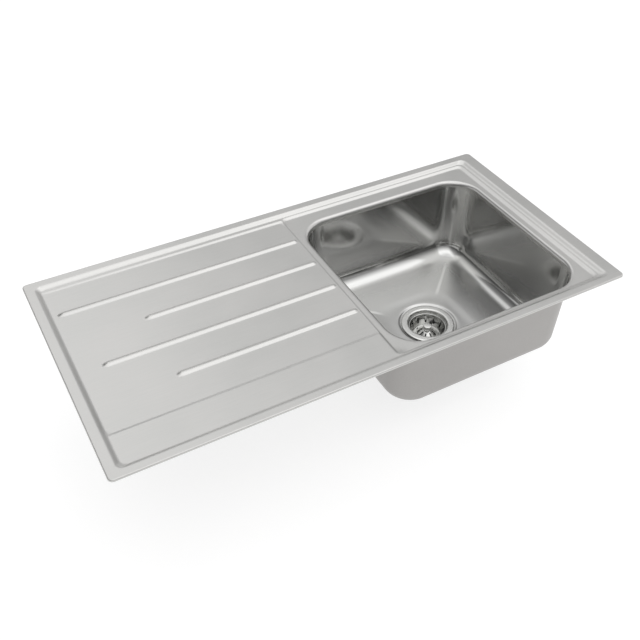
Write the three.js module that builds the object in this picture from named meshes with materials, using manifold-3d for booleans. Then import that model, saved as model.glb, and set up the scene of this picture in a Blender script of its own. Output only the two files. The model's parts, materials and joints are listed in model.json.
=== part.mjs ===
// Inset kitchen sink with a drainer on the left, one deep bowl on the right and a basket waste.
// Units are millimetres. X runs along the sink, Y to the rear, Z up.
// The origin is the centre of the worktop cut-out, on the worktop's top surface.

import * as THREE from 'three';
import { mergeVertices } from 'three/addons/utils/BufferGeometryUtils.js';
import Module from 'manifold-3d';

const wasm = await Module();
wasm.setup();

// ---------------------------------------------------------------- driving dimensions

const GAP = 0.3; // standing gap between pieces that touch
const CUT = 2; // how far a cutting tool runs past the face it cuts
const MERGE_DISTANCE = 1e-4; // corners closer than this are one

// Sheet and rim
const SINK_LENGTH = 1000;
const SINK_WIDTH = 500;
const SHEET = 1; // thickness of the pressed steel
const CORNER_RADIUS = 9;
const LIP_HEIGHT = 4; // the turned-down outer edge
const LIP_CLEARANCE = 0.5; // the seal stands this far below the lip
const EDGE_ROLL = 2; // rounding along the top of the lip
const RIM_FLAT = { left: 17, right: 25, front: 14, rear: 16 };

// Recess inside the rim
const STEP_RUN = { left: 10, right: 14, front: 10, rear: 10 };
const STEP_DEPTH = 5;
const RECESS_CORNER = 12;
const SURROUND_RUN = { left: 6, right: 10, front: 5, rear: 8 };
const SURROUND_DEPTH = 3; // the bowl's surround lies this far below the step
const SURROUND_LEDGE = 0.5;
const SURROUND_TO_ROLL = 8; // flat between the surround's left slope and the bowl's rolled edge

// Bowl
const BOWL_LENGTH = 404;
const BOWL_MARGIN = { right: 66, front: 38, rear: 66 }; // from the rim's outer edge to the bowl's wall
const BOWL_CORNER = 62;
const ROLL_RADIUS = 8;
const COLLAR_HEIGHT = 4;
const BOWL_DEPTH = 190; // from the rim's top to the edge of the floor
const WALL_DRAFT = THREE.MathUtils.degToRad(2.5);
const FLOOR_FILLET = 36;
const FLOOR_FALL = 5;
const WASTE_SEAT_RADIUS = 60;
const WASTE_SEAT_SLOPE = 3;
const WASTE_SEAT_DEPTH = 2.5;
const WASTE_HOLE_RADIUS = 45; // the standard 90 mm waste

// Drainer tray
const TRAY_LEDGE = { left: 0.5, front: 62, rear: 5 }; // from the step's foot to the tray's edge
const TRAY_RUN = 7;
const TRAY_CORNER = 10;
const TRAY_DEPTH = { left: 1.2, right: 2.2 };
const RIB_WIDTH = 13;
const RIB_HEIGHT = 2.5;
const RIB_STARTS = [135.5, 36.5, 137.5, 6.5]; // from the tray's left edge, front rib first
const RIB_END_GAP = 5;
const RIB_MARGIN = 74.5; // from the tray's front and rear edges to the outer ribs
const RIB_CROWN = 0.9; // share of the half width over which a rib rounds off

// Rim seal
const SEAL_INSET = 2;
const SEAL_WIDTH = 8;

// Basket waste
const FLANGE_RADIUS = 56;
const CUP_SHEET = 1;
const CUP_MOUTH_RADIUS = 41;
const CUP_FLOOR_RADIUS = 36;
const CUP_DEPTH = 42;
const CUP_LIP_ROLL = 3;
const CUP_FLOOR_ROLL = 6;
const CUP_SLOTS = 10;
const CUP_SLOT_WIDTH = 5;
const CUP_SLOT_MARGIN = 3; // from the clamp's head to the slots
const FLANGE_GASKET_THICKNESS = 1.5;
const POT_GASKET_THICKNESS = 3;
const POT_FLANGE_RADIUS = 58;
const POT_FLANGE_THICKNESS = 4;
const POT_WALL = 3;
const POT_CLEARANCE = 4; // water space between the cup and the pot
const POT_SUMP = 12; // from the cup's floor to the start of the pot's cone
const POT_CONE = 16;
const POT_GUSSETS = 12;
const POT_GUSSET_THICKNESS = 2.5;
const POT_GUSSET_DROP = 12;
const OUTLET_RADIUS = 23.9; // one and a half inch pipe thread
const OUTLET_BORE_RADIUS = 20;
const OUTLET_LENGTH = 28;
const SPIDER_ARMS = 3;
const SPIDER_ARM_WIDTH = 4;
const SPIDER_HEIGHT = 12;
const INSERT_RADIUS = 5;
const SPIDER_BOSS_WALL = 3;
const CLAMP_SCREW_RADIUS = 3;
const CLAMP_HEAD_RADIUS = 8;
const CLAMP_HEAD_HEIGHT = 3;
const CLAMP_CHAMFER = 2;
const CLAMP_TAIL = 2; // the screw ends this far below the insert

// Basket
const BASKET_SHEET = 0.8;
const BASKET_CLEARANCE = 1.5; // between the basket's rim and the cup's mouth
const BASKET_FLOOR_RADIUS = 31;
const BASKET_DEPTH = 26;
const BASKET_LIP = 2; // the flat rim outside the wall's bend
const BASKET_BEND = 2;
const BASKET_WALL_BEND = 1;
const BASKET_DOME_RADIUS = 23;
const BASKET_DOME_HEIGHT = 14;
const BASKET_DOME_FLAT = 8; // radius of the seat for the stem
const BASKET_SHOULDER = { inset: 4, rise: 6.3 }; // where the dome's side bends
const BASKET_WALL_SLOTS = 12;
const BASKET_DOME_SLOTS = 8;
const BASKET_SLOT_WIDTH = 3;
const BASKET_SLOT_MARGIN = 6; // from the floor and the rim to the wall's slots
const DOME_SLOT_MARGIN = 2;
const STOPPER_RADIUS = 24;
const STOPPER_THICKNESS = 4;
const STOPPER_LIP = 4; // the sealing band outside the cup's slots
const STOPPER_EDGE = 1;
const STEM_RADIUS = 4;
const KNOB_RADIUS = 9;
const KNOB_HEIGHT = 8;
const KNOB_NECK = 5;
const KNOB_FOOT = 3; // the collar under the neck
const KNOB_WAIST = 1;
const KNOB_EDGE = 2;

// Sound-deadening pads
const PAD_THICKNESS = 2;
const BOWL_PAD_REACH = { inner: 0.82, outer: 0.12 }; // shares of the way from the floor's edge to the waste
const DRAINER_PAD_MARGIN = { left: 71, right: 71, front: 61, rear: 61 }; // from the tray's edges
const DRAINER_PAD_CORNER = 8;

// Earth tag
const TAG = { width: 12, thickness: 1, foot: 16, leg: 18, bend: 2, hole: 2.5 };
const TAG_FROM_TRAY_LEFT = 30;
const TAG_FROM_TRAY_REAR = 90;

// Clamping clips
const CLIP_INSET = 50; // from the outer edge of the rim to each bolt
const BRACKET = { length: 40, width: 14, sheet: 1.5, hat: 18, drop: 8 };
const BOLT_RADIUS = 3;
const BOLT_HEAD = { radius: 5.5, height: 4 };
const BOLT_CHAMFER = 1;
const BOLT_REACH = 50; // from the worktop's top down to the bolt's end
const BOLT_HOLE_CLEARANCE = 0.5;
const ARM = { reach: 46, heel: 9, width: 14, sheet: 2.5, crank: 29.5, rise: 3, teeth: 4, toothDepth: 1.5 };
const ARM_TOP = 26; // from the worktop's top down to the parked arm
const NUT = { flangeRadius: 7, flangeHeight: 1.5, hexRadius: 5.8, hexHeight: 4, clearance: 0.3 };
const FRONT_CLIPS = 3;
const FRONT_CLIP_ENDS = { left: 80, bowl: 89 };
const REAR_CLIP_OFFSETS = [80, 350, 830]; // from the sink's left edge

// Facets
const CORNER_STEPS = 6; // facets in a quarter round of an outline
const SIDE_STEPS = 6; // facets along a bowl side, so that it can meet a circle
const ROLL_STEPS = 4;
const EDGE_STEPS = 3;
const STEP_STEPS = 4;
const RIB_END_STEPS = 3; // facets in a quarter of a rib's end
const RIB_SIDE_STEPS = 3; // facets up each side of a rib
const TURN_STEPS = 3; // facets in a quarter round of the waste's cup
const RING_POINTS = 4 * (CORNER_STEPS + SIDE_STEPS);
const ROUND_SIDES = 32; // facets round the waste
const SMALL_SIDES = 12;
const CLIP_SIDES = 8;

// ---------------------------------------------------------------- sizes that follow

const rimTop = LIP_CLEARANCE + LIP_HEIGHT;
const halfLength = SINK_LENGTH / 2;
const halfWidth = SINK_WIDTH / 2;
const stepFloor = rimTop - STEP_DEPTH;
const surroundFloor = stepFloor - SURROUND_DEPTH;
const collarBottom = surroundFloor - ROLL_RADIUS - COLLAR_HEIGHT;

const rimOutline = {
  x0: -halfLength, x1: halfLength, y0: -halfWidth, y1: halfWidth, r: CORNER_RADIUS,
};
const stepTop = shrink(rimOutline, RIM_FLAT, RECESS_CORNER);
const stepBottom = shrink(stepTop, STEP_RUN, RECESS_CORNER);

const bowlMouth = {
  x0: halfLength - BOWL_MARGIN.right - BOWL_LENGTH,
  x1: halfLength - BOWL_MARGIN.right,
  y0: -halfWidth + BOWL_MARGIN.front,
  y1: halfWidth - BOWL_MARGIN.rear,
  r: BOWL_CORNER,
};
const surroundTop = {
  x0: bowlMouth.x0 - ROLL_RADIUS - SURROUND_TO_ROLL - SURROUND_RUN.left,
  x1: stepBottom.x1 - SURROUND_LEDGE,
  y0: stepBottom.y0 + SURROUND_LEDGE,
  y1: stepBottom.y1 - SURROUND_LEDGE,
  r: RECESS_CORNER,
};
const surroundBottom = shrink(surroundTop, SURROUND_RUN, RECESS_CORNER);

const trayTop = {
  x0: stepBottom.x0 + TRAY_LEDGE.left,
  x1: surroundTop.x0 + SURROUND_RUN.left,
  y0: stepBottom.y0 + TRAY_LEDGE.front,
  y1: stepBottom.y1 - TRAY_LEDGE.rear,
  r: TRAY_CORNER,
};
const trayRun = { left: TRAY_RUN, right: 0, front: TRAY_RUN, rear: TRAY_RUN };
const trayBottom = shrink(trayTop, trayRun, TRAY_CORNER);

const wasteX = (bowlMouth.x0 + bowlMouth.x1) / 2;
const wasteY = (bowlMouth.y0 + bowlMouth.y1) / 2;
const floorEdge = rimTop - BOWL_DEPTH;
const seatEdge = floorEdge - FLOOR_FALL;
const wasteSeat = seatEdge - WASTE_SEAT_DEPTH;

// ---------------------------------------------------------------- outlines and solids

// Move each side of an outline inwards by its own amount.
function shrink(outline, by, r) {
  return {
    x0: outline.x0 + by.left,
    x1: outline.x1 - by.right,
    y0: outline.y0 + by.front,
    y1: outline.y1 - by.rear,
    r,
  };
}

// Offset an outline evenly inwards, or outwards for a negative amount.
function inset(outline, amount) {
  const even = { left: amount, right: amount, front: amount, rear: amount };
  return shrink(outline, even, outline.r - amount);
}

function mix(a, b, t) {
  return a + (b - a) * t;
}

function mixOutline(a, b, t) {
  return {
    x0: mix(a.x0, b.x0, t),
    x1: mix(a.x1, b.x1, t),
    y0: mix(a.y0, b.y0, t),
    y1: mix(a.y1, b.y1, t),
    r: mix(a.r, b.r, t),
  };
}

// Points round a rounded rectangle, anticlockwise from its right side, at one height or a height by place.
function ringOf(outline, height, sideSteps = 1, cornerSteps = CORNER_STEPS) {
  const { x0, x1, y0, y1, r } = outline;
  const centres = [[x1 - r, y1 - r], [x0 + r, y1 - r], [x0 + r, y0 + r], [x1 - r, y0 + r]];
  const points = [];
  centres.forEach(([cx, cy], corner) => {
    for (let step = 0; step <= cornerSteps; step += 1) {
      const angle = ((corner + step / cornerSteps) * Math.PI) / 2;
      points.push([cx + r * Math.cos(angle), cy + r * Math.sin(angle)]);
    }
    const [nx, ny] = centres[(corner + 1) % centres.length];
    const nextAngle = ((corner + 1) * Math.PI) / 2;
    const start = points[points.length - 1];
    const end = [nx + r * Math.cos(nextAngle), ny + r * Math.sin(nextAngle)];
    for (let step = 1; step < sideSteps; step += 1) {
      const t = step / sideSteps;
      points.push([mix(start[0], end[0], t), mix(start[1], end[1], t)]);
    }
  });
  const heightAt = typeof height === 'function' ? height : () => height;
  return points.map(([x, y]) => new THREE.Vector3(x, y, heightAt(x, y)));
}

// A circle whose points pair with those of a rounded rectangle's ring.
function circleRing(cx, cy, radius, z) {
  const share = (2 * Math.PI) / RING_POINTS;
  const first = Math.PI / 4 - (CORNER_STEPS / 2) * share;
  return Array.from({ length: RING_POINTS }, (_, i) => {
    const angle = first + i * share;
    return new THREE.Vector3(cx + radius * Math.cos(angle), cy + radius * Math.sin(angle), z);
  });
}

// A closed surface through rings with the same number of points: capped at both ends, or joined to itself.
function loft(rings, endless = false) {
  const count = rings[0].length;
  const positions = rings.flat().flatMap((p) => [p.x, p.y, p.z]);
  const indices = [];
  const bands = endless ? rings.length : rings.length - 1;
  for (let band = 0; band < bands; band += 1) {
    const lower = band * count;
    const upper = ((band + 1) % rings.length) * count;
    for (let i = 0; i < count; i += 1) {
      const j = (i + 1) % count;
      indices.push(lower + i, lower + j, upper + j, lower + i, upper + j, upper + i);
    }
  }
  if (!endless) {
    const top = (rings.length - 1) * count;
    for (let i = 1; i < count - 1; i += 1) {
      indices.push(0, i + 1, i, top, top + i, top + i + 1);
    }
  }
  const geometry = new THREE.BufferGeometry();
  geometry.setAttribute('position', new THREE.Float32BufferAttribute(positions, 3));
  geometry.setIndex(indices);
  return faceOutwards(geometry);
}

// Turn the faces over if the closed surface encloses a negative volume.
function faceOutwards(geometry) {
  const position = geometry.getAttribute('position');
  const index = Array.from(geometry.getIndex().array);
  const [a, b, c] = [new THREE.Vector3(), new THREE.Vector3(), new THREE.Vector3()];
  let volume = 0;
  for (let i = 0; i < index.length; i += 3) {
    a.fromBufferAttribute(position, index[i]);
    b.fromBufferAttribute(position, index[i + 1]);
    c.fromBufferAttribute(position, index[i + 2]);
    volume += a.dot(b.cross(c));
  }
  if (volume < 0) {
    for (let i = 0; i < index.length; i += 3) {
      [index[i + 1], index[i + 2]] = [index[i + 2], index[i + 1]];
    }
    geometry.setIndex(index);
  }
  return geometry;
}

// The same closed surface with its corners shared between faces and its faces turned outwards.
function joined(geometry) {
  const bare = new THREE.BufferGeometry();
  bare.setAttribute('position', geometry.getAttribute('position'));
  bare.setIndex(geometry.getIndex());
  return faceOutwards(mergeVertices(bare, MERGE_DISTANCE));
}

function solidOf(geometry) {
  const closed = joined(geometry);
  return new wasm.Manifold(
    new wasm.Mesh({
      numProp: 3,
      vertProperties: new Float32Array(closed.getAttribute('position').array),
      triVerts: new Uint32Array(closed.getIndex().array),
    }),
  );
}

function geometryOf(solid) {
  const { vertProperties, triVerts } = solid.getMesh();
  const geometry = new THREE.BufferGeometry();
  geometry.setAttribute('position', new THREE.Float32BufferAttribute(vertProperties, 3));
  geometry.setIndex(new THREE.BufferAttribute(triVerts, 1));
  return geometry;
}

// A round solid about Z from a closed profile of [radius, height] points.
function turned(profile, sides = ROUND_SIDES) {
  const closed = [...profile, profile[0]].map(([r, z]) => new THREE.Vector2(r, z));
  const geometry = new THREE.LatheGeometry(closed, sides);
  geometry.rotateX(Math.PI / 2);
  return joined(geometry);
}

// A solid with the given outline in plan, from one height to another.
function prism(points, z0, z1) {
  const shape = new THREE.Shape(points.map(([x, y]) => new THREE.Vector2(x, y)));
  const geometry = new THREE.ExtrudeGeometry(shape, { depth: z1 - z0, bevelEnabled: false });
  geometry.translate(0, 0, z0);
  return joined(geometry);
}

function rod(radius, z0, z1, sides = SMALL_SIDES) {
  return prism(circlePoints(radius, sides), z0, z1);
}

function circlePoints(radius, sides) {
  return Array.from({ length: sides }, (_, i) => {
    const angle = ((i + 0.5) * 2 * Math.PI) / sides;
    return [radius * Math.cos(angle), radius * Math.sin(angle)];
  });
}

function boxPoints(x0, x1, y0, y1) {
  return [[x0, y0], [x1, y0], [x1, y1], [x0, y1]];
}

// The same tool repeated round the Z axis.
function ringOfTools(tool, count) {
  let all = tool;
  for (let i = 1; i < count; i += 1) {
    all = all.add(tool.rotate([0, 0, (360 * i) / count]));
  }
  return all;
}

// ---------------------------------------------------------------- materials

const steel = { color: 0xc3c3c1, metalness: 0.9, roughness: 0.35 };
const polished = { color: 0xd2d2d0, metalness: 0.95, roughness: 0.15 };
const zinc = { color: 0xb4b6b8, metalness: 0.8, roughness: 0.45 };
const brass = { color: 0xb8964e, metalness: 0.9, roughness: 0.4 };
const darkRubber = { color: 0x2b2b2c, metalness: 0, roughness: 0.8 };
const greyRubber = { color: 0x55575a, metalness: 0, roughness: 0.85 };
const foam = { color: 0x3a3b3d, metalness: 0, roughness: 0.95 };
const whitePlastic = { color: 0xe4e5e3, metalness: 0, roughness: 0.5 };

const sink = new THREE.Group();

function place(name, geometry, look, parent = sink) {
  geometry.computeVertexNormals();
  const mesh = new THREE.Mesh(geometry, new THREE.MeshStandardMaterial(look));
  mesh.name = name;
  parent.add(mesh);
  return mesh;
}

// ---------------------------------------------------------------- deck

function trayFloor(x) {
  const along = (x - trayTop.x0) / (trayTop.x1 - trayTop.x0);
  return stepFloor - mix(TRAY_DEPTH.left, TRAY_DEPTH.right, along);
}

// A pressed step: from one outline down to another along a smooth S.
function pressedStep(top, bottom, fromZ, toZ, drop) {
  const rings = [ringOf(top, rimTop + CUT)];
  for (let i = 0; i <= STEP_STEPS; i += 1) {
    const t = i / STEP_STEPS;
    const fall = (1 - Math.cos(Math.PI * t)) / 2;
    const height = (x) => mix(fromZ, toZ(x), fall) - drop;
    rings.push(ringOf(mixOutline(top, bottom, t), height));
  }
  return solidOf(loft(rings));
}

// The rolled edge and collar of the bowl's mouth, as the space inside it.
function mouthTool(wall) {
  const radius = ROLL_RADIUS - wall;
  const rings = [ringOf(inset(bowlMouth, -ROLL_RADIUS), rimTop + CUT)];
  for (let i = 0; i <= ROLL_STEPS; i += 1) {
    const angle = ((i / ROLL_STEPS) * Math.PI) / 2;
    const outline = inset(bowlMouth, radius * Math.sin(angle) - ROLL_RADIUS);
    rings.push(ringOf(outline, surroundFloor - ROLL_RADIUS + radius * Math.cos(angle)));
  }
  rings.push(ringOf(inset(bowlMouth, -wall), collarBottom - 2 * CUT));
  return solidOf(loft(rings));
}

// A drainer rib: a long low ridge with round ends that follows the tray's floor.
function ribTool(start, y, drop) {
  const x1 = trayTop.x1 - RIB_END_GAP;
  const half = RIB_WIDTH / 2;
  const base = { x0: trayTop.x0 + start, x1, y0: y - half, y1: y + half, r: half };
  const rings = [ringOf(base, (x) => trayFloor(x) - CUT, 1, RIB_END_STEPS)];
  for (let i = 0; i <= RIB_SIDE_STEPS; i += 1) {
    const angle = ((i / RIB_SIDE_STEPS) * Math.PI) / 2;
    const outline = inset(base, half * RIB_CROWN * (1 - Math.cos(angle)));
    const height = (x) => trayFloor(x) + RIB_HEIGHT * Math.sin(angle) - drop;
    rings.push(ringOf(outline, height, 1, RIB_END_STEPS));
  }
  return solidOf(loft(rings));
}

function ribPlaces() {
  const first = trayTop.y0 + RIB_MARGIN;
  const last = trayTop.y1 - RIB_MARGIN;
  const pitch = (last - first) / (RIB_STARTS.length - 1);
  return RIB_STARTS.map((start, i) => ({ start, y: first + i * pitch }));
}

// Everything under the sheet's top skin, or under its lower skin for a wall of one sheet.
function die(wall) {
  const base = collarBottom - CUT - wall;
  const edge = EDGE_ROLL - wall;
  const rings = [ringOf(inset(rimOutline, wall), base)];
  for (let i = 0; i <= EDGE_STEPS; i += 1) {
    const angle = ((i / EDGE_STEPS) * Math.PI) / 2;
    const outline = inset(rimOutline, wall + edge * (1 - Math.cos(angle)));
    rings.push(ringOf(outline, rimTop - wall - edge + edge * Math.sin(angle)));
  }
  let body = solidOf(loft(rings));
  body = body.subtract(pressedStep(stepTop, stepBottom, rimTop, () => stepFloor, wall));
  body = body.subtract(pressedStep(trayTop, trayBottom, stepFloor, trayFloor, wall));
  body = body.subtract(pressedStep(surroundTop, surroundBottom, stepFloor, () => surroundFloor, wall));
  for (const { start, y } of ribPlaces()) {
    body = body.add(ribTool(start, y, wall));
  }
  return body.subtract(mouthTool(wall));
}

function buildDeck() {
  const lipSlab = solidOf(loft([
    ringOf(inset(rimOutline, -CUT), LIP_CLEARANCE),
    ringOf(inset(rimOutline, -CUT), rimTop + CUT),
  ]));
  const column = solidOf(loft([
    ringOf(inset(stepTop, SHEET), collarBottom),
    ringOf(inset(stepTop, SHEET), rimTop + CUT),
  ]));
  return geometryOf(die(0).subtract(die(SHEET)).intersect(lipSlab.add(column)));
}

place('deck', buildDeck(), steel);

// ---------------------------------------------------------------- bowl

// Rings down one skin of the bowl, from its top edge to the waste hole.
function bowlSkin(wall) {
  const top = collarBottom - GAP;
  const bend = floorEdge + FLOOR_FILLET;
  const draftTo = (z) => (top - z) * Math.tan(WALL_DRAFT) - wall;
  const wallRing = (z, amount, height) => ringOf(inset(bowlMouth, amount), height, SIDE_STEPS);
  const rings = [wallRing(top, -wall, top)];
  const fillet = FLOOR_FILLET + wall;
  for (let i = 0; i <= ROLL_STEPS; i += 1) {
    const angle = mix(WALL_DRAFT, Math.PI / 2, i / ROLL_STEPS);
    const amount = draftTo(bend) + wall + FLOOR_FILLET - fillet * Math.cos(angle);
    rings.push(wallRing(bend, amount, bend - fillet * Math.sin(angle)));
  }
  rings.push(circleRing(wasteX, wasteY, WASTE_SEAT_RADIUS + WASTE_SEAT_SLOPE, seatEdge - wall));
  rings.push(circleRing(wasteX, wasteY, WASTE_SEAT_RADIUS, wasteSeat - wall));
  rings.push(circleRing(wasteX, wasteY, WASTE_HOLE_RADIUS, wasteSeat - wall));
  return rings;
}

place('bowl', loft([...bowlSkin(0), ...bowlSkin(SHEET).reverse()], true), steel);

// ---------------------------------------------------------------- seal, pads and earth tag

function buildRimSeal() {
  const outer = inset(rimOutline, SEAL_INSET);
  const inner = inset(outer, SEAL_WIDTH);
  inner.r = SHEET;
  const top = rimTop - SHEET - GAP;
  return loft([ringOf(outer, 0), ringOf(outer, top), ringOf(inner, top), ringOf(inner, 0)], true);
}

place('rim_seal', buildRimSeal(), foam);

// The pad lies against the sloping floor, between the floor's edge and the waste.
function buildBowlPad() {
  const skin = bowlSkin(SHEET);
  const edge = skin[skin.length - 4];
  const waste = skin[skin.length - 3];
  const between = (share, drop) => edge.map((p, i) => {
    const q = p.clone().lerp(waste[i], share);
    q.z -= drop;
    return q;
  });
  const { inner, outer } = BOWL_PAD_REACH;
  const low = GAP + PAD_THICKNESS;
  return loft([between(outer, GAP), between(outer, low), between(inner, low), between(inner, GAP)], true);
}

place('bowl_pad', buildBowlPad(), greyRubber);

function buildDrainerPad() {
  const outline = shrink(trayTop, DRAINER_PAD_MARGIN, DRAINER_PAD_CORNER);
  const under = (drop) => ringOf(outline, (x) => trayFloor(x) - SHEET - GAP - drop);
  return loft([under(PAD_THICKNESS), under(0)]);
}

place('drainer_pad', buildDrainerPad(), greyRubber);

// A bent strip: its foot is welded under the tray, its leg hangs down with a hole for the earth screw.
function buildEarthTag() {
  const { width, thickness, foot, leg, bend, hole } = TAG;
  const shape = new THREE.Shape();
  shape.moveTo(foot, 0);
  shape.lineTo(bend, 0);
  shape.absarc(bend, -bend, bend, Math.PI / 2, Math.PI, false);
  shape.lineTo(0, -leg);
  shape.lineTo(thickness, -leg);
  shape.lineTo(thickness, -bend);
  shape.absarc(bend, -bend, bend - thickness, Math.PI, Math.PI / 2, true);
  shape.lineTo(foot, -thickness);
  const strip = new THREE.ExtrudeGeometry(shape, { depth: width, bevelEnabled: false, curveSegments: 4 });
  strip.rotateX(Math.PI / 2);
  strip.translate(0, width / 2, 0);
  const drill = rod(hole, -CUT, thickness + CUT);
  drill.rotateY(Math.PI / 2);
  drill.translate(0, 0, -leg + 2 * hole);
  return geometryOf(solidOf(strip).subtract(solidOf(drill)));
}

const tagX = trayTop.x0 + TAG_FROM_TRAY_LEFT;
const tag = place('earth_tag', buildEarthTag(), steel);
tag.position.set(tagX, trayTop.y1 - TAG_FROM_TRAY_REAR, trayFloor(tagX + TAG.foot) - SHEET - GAP);

// ---------------------------------------------------------------- basket waste

const waste = new THREE.Group();
waste.position.set(wasteX, wasteY, 0);
sink.add(waste);

const gasketBottom = wasteSeat + GAP;
const flangeBottom = gasketBottom + FLANGE_GASKET_THICKNESS + GAP;
const flangeTop = flangeBottom + CUP_SHEET;
const cupFloor = flangeTop - CUP_DEPTH;
const potGasketTop = wasteSeat - SHEET - GAP;
const potTop = potGasketTop - POT_GASKET_THICKNESS - GAP;
const potInner = CUP_MOUTH_RADIUS + CUP_SHEET + POT_CLEARANCE;
const coneTop = cupFloor - CUP_SHEET - POT_SUMP;
const coneBottom = coneTop - POT_CONE;
const outletEnd = coneBottom - OUTLET_LENGTH;

place('flange_gasket', turned([
  [WASTE_HOLE_RADIUS + SHEET, gasketBottom],
  [FLANGE_RADIUS - SHEET, gasketBottom],
  [FLANGE_RADIUS - SHEET, flangeBottom - GAP],
  [WASTE_HOLE_RADIUS + SHEET, flangeBottom - GAP],
]), darkRubber, waste);

place('pot_gasket', turned([
  [WASTE_HOLE_RADIUS + SHEET, potGasketTop - POT_GASKET_THICKNESS],
  [POT_FLANGE_RADIUS - SHEET, potGasketTop - POT_GASKET_THICKNESS],
  [POT_FLANGE_RADIUS - SHEET, potGasketTop],
  [WASTE_HOLE_RADIUS + SHEET, potGasketTop],
]), darkRubber, waste);

// Points along a quarter round from one direction to another.
function arc(cx, cz, radius, from, to, steps) {
  return Array.from({ length: steps + 1 }, (_, i) => {
    const angle = THREE.MathUtils.degToRad(mix(from, to, i / steps));
    return [cx + radius * Math.cos(angle), cz + radius * Math.sin(angle)];
  });
}

function buildStrainerCup() {
  const t = CUP_SHEET;
  const lip = CUP_LIP_ROLL;
  const low = CUP_FLOOR_ROLL;
  const inner = [
    [CLAMP_SCREW_RADIUS + BOLT_HOLE_CLEARANCE, cupFloor],
    ...arc(CUP_FLOOR_RADIUS - low, cupFloor + low, low, -90, 0, TURN_STEPS),
    ...arc(CUP_MOUTH_RADIUS + lip, flangeTop - lip, lip, 180, 90, TURN_STEPS),
    [FLANGE_RADIUS - t, flangeTop],
    [FLANGE_RADIUS, flangeTop - t],
  ];
  const outer = [
    [FLANGE_RADIUS, flangeBottom - t / 2],
    [FLANGE_RADIUS - t / 2, flangeBottom - t / 2],
    [FLANGE_RADIUS - t / 2, flangeBottom],
    ...arc(CUP_MOUTH_RADIUS + lip, flangeTop - lip, lip - t, 90, 180, TURN_STEPS),
    ...arc(CUP_FLOOR_RADIUS - low, cupFloor + low, low + t, 0, -90, TURN_STEPS),
    [CLAMP_SCREW_RADIUS + BOLT_HOLE_CLEARANCE, cupFloor - t],
  ];
  const slotStart = CLAMP_HEAD_RADIUS + CUP_SLOT_MARGIN;
  const slotEnd = STOPPER_RADIUS - STOPPER_LIP;
  const slot = prism(
    boxPoints(slotStart, slotEnd, -CUP_SLOT_WIDTH / 2, CUP_SLOT_WIDTH / 2),
    cupFloor - t - CUT,
    cupFloor + CUT,
  );
  return geometryOf(solidOf(turned([...inner, ...outer])).subtract(ringOfTools(solidOf(slot), CUP_SLOTS)));
}

place('strainer_cup', buildStrainerCup(), polished, waste);

function buildWastePot() {
  const outer = potInner + POT_WALL;
  const shell = turned([
    [potInner, potTop],
    [potInner, coneTop],
    [OUTLET_BORE_RADIUS, coneBottom],
    [OUTLET_BORE_RADIUS, outletEnd],
    [OUTLET_RADIUS, outletEnd],
    [OUTLET_RADIUS, coneBottom - POT_WALL],
    [outer, coneTop - POT_WALL],
    [outer, potTop - POT_FLANGE_THICKNESS],
    [POT_FLANGE_RADIUS, potTop - POT_FLANGE_THICKNESS],
    [POT_FLANGE_RADIUS, potTop],
  ]);
  const gussetShape = new THREE.Shape([
    new THREE.Vector2(outer - POT_WALL / 2, 0),
    new THREE.Vector2(POT_FLANGE_RADIUS - SHEET, 0),
    new THREE.Vector2(outer - POT_WALL / 2, -POT_GUSSET_DROP),
  ]);
  const gusset = new THREE.ExtrudeGeometry(gussetShape, { depth: POT_GUSSET_THICKNESS, bevelEnabled: false });
  gusset.rotateX(Math.PI / 2);
  gusset.translate(0, POT_GUSSET_THICKNESS / 2, potTop - POT_FLANGE_THICKNESS + SHEET / 2);
  const gussets = ringOfTools(solidOf(gusset), POT_GUSSETS);

  const spiderTop = coneBottom;
  const spiderBottom = spiderTop - SPIDER_HEIGHT;
  const bossRadius = INSERT_RADIUS + SPIDER_BOSS_WALL;
  const arm = prism(
    boxPoints(0, OUTLET_BORE_RADIUS + SHEET, -SPIDER_ARM_WIDTH / 2, SPIDER_ARM_WIDTH / 2),
    spiderBottom,
    spiderTop,
  );
  const boss = solidOf(rod(bossRadius, spiderBottom, spiderTop));
  const spider = ringOfTools(solidOf(arm), SPIDER_ARMS).add(boss);
  const bore = solidOf(rod(INSERT_RADIUS + GAP, spiderBottom - CUT, spiderTop + CUT));
  return geometryOf(solidOf(shell).add(gussets).add(spider).subtract(bore));
}

place('waste_pot', buildWastePot(), whitePlastic, waste);

place('pot_insert', turned([
  [CLAMP_SCREW_RADIUS + GAP, coneBottom - SPIDER_HEIGHT],
  [INSERT_RADIUS, coneBottom - SPIDER_HEIGHT],
  [INSERT_RADIUS, coneBottom],
  [CLAMP_SCREW_RADIUS + GAP, coneBottom],
], SMALL_SIDES), brass, waste);

function buildClampScrew() {
  const seat = cupFloor + GAP;
  const headTop = seat + CLAMP_HEAD_HEIGHT;
  const tip = coneBottom - SPIDER_HEIGHT - CLAMP_TAIL;
  return turned([
    [0, headTop],
    [CLAMP_HEAD_RADIUS - CLAMP_CHAMFER, headTop],
    [CLAMP_HEAD_RADIUS, headTop - CLAMP_CHAMFER],
    [CLAMP_HEAD_RADIUS, seat],
    [CLAMP_SCREW_RADIUS, seat],
    [CLAMP_SCREW_RADIUS, tip + CLAMP_CHAMFER / 2],
    [CLAMP_SCREW_RADIUS - CLAMP_CHAMFER / 2, tip],
    [0, tip],
  ], SMALL_SIDES);
}

place('clamp_screw', buildClampScrew(), polished, waste);

// ---------------------------------------------------------------- basket

const stopperBottom = cupFloor + CLAMP_HEAD_HEIGHT + 2 * GAP;
const stopperTop = stopperBottom + STOPPER_THICKNESS;
const basketFloor = stopperTop + GAP;
const basketTop = basketFloor + BASKET_DEPTH;
const domeTop = basketFloor + BASKET_DOME_HEIGHT;
const basketRimRadius = CUP_MOUTH_RADIUS - BASKET_CLEARANCE;

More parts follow.
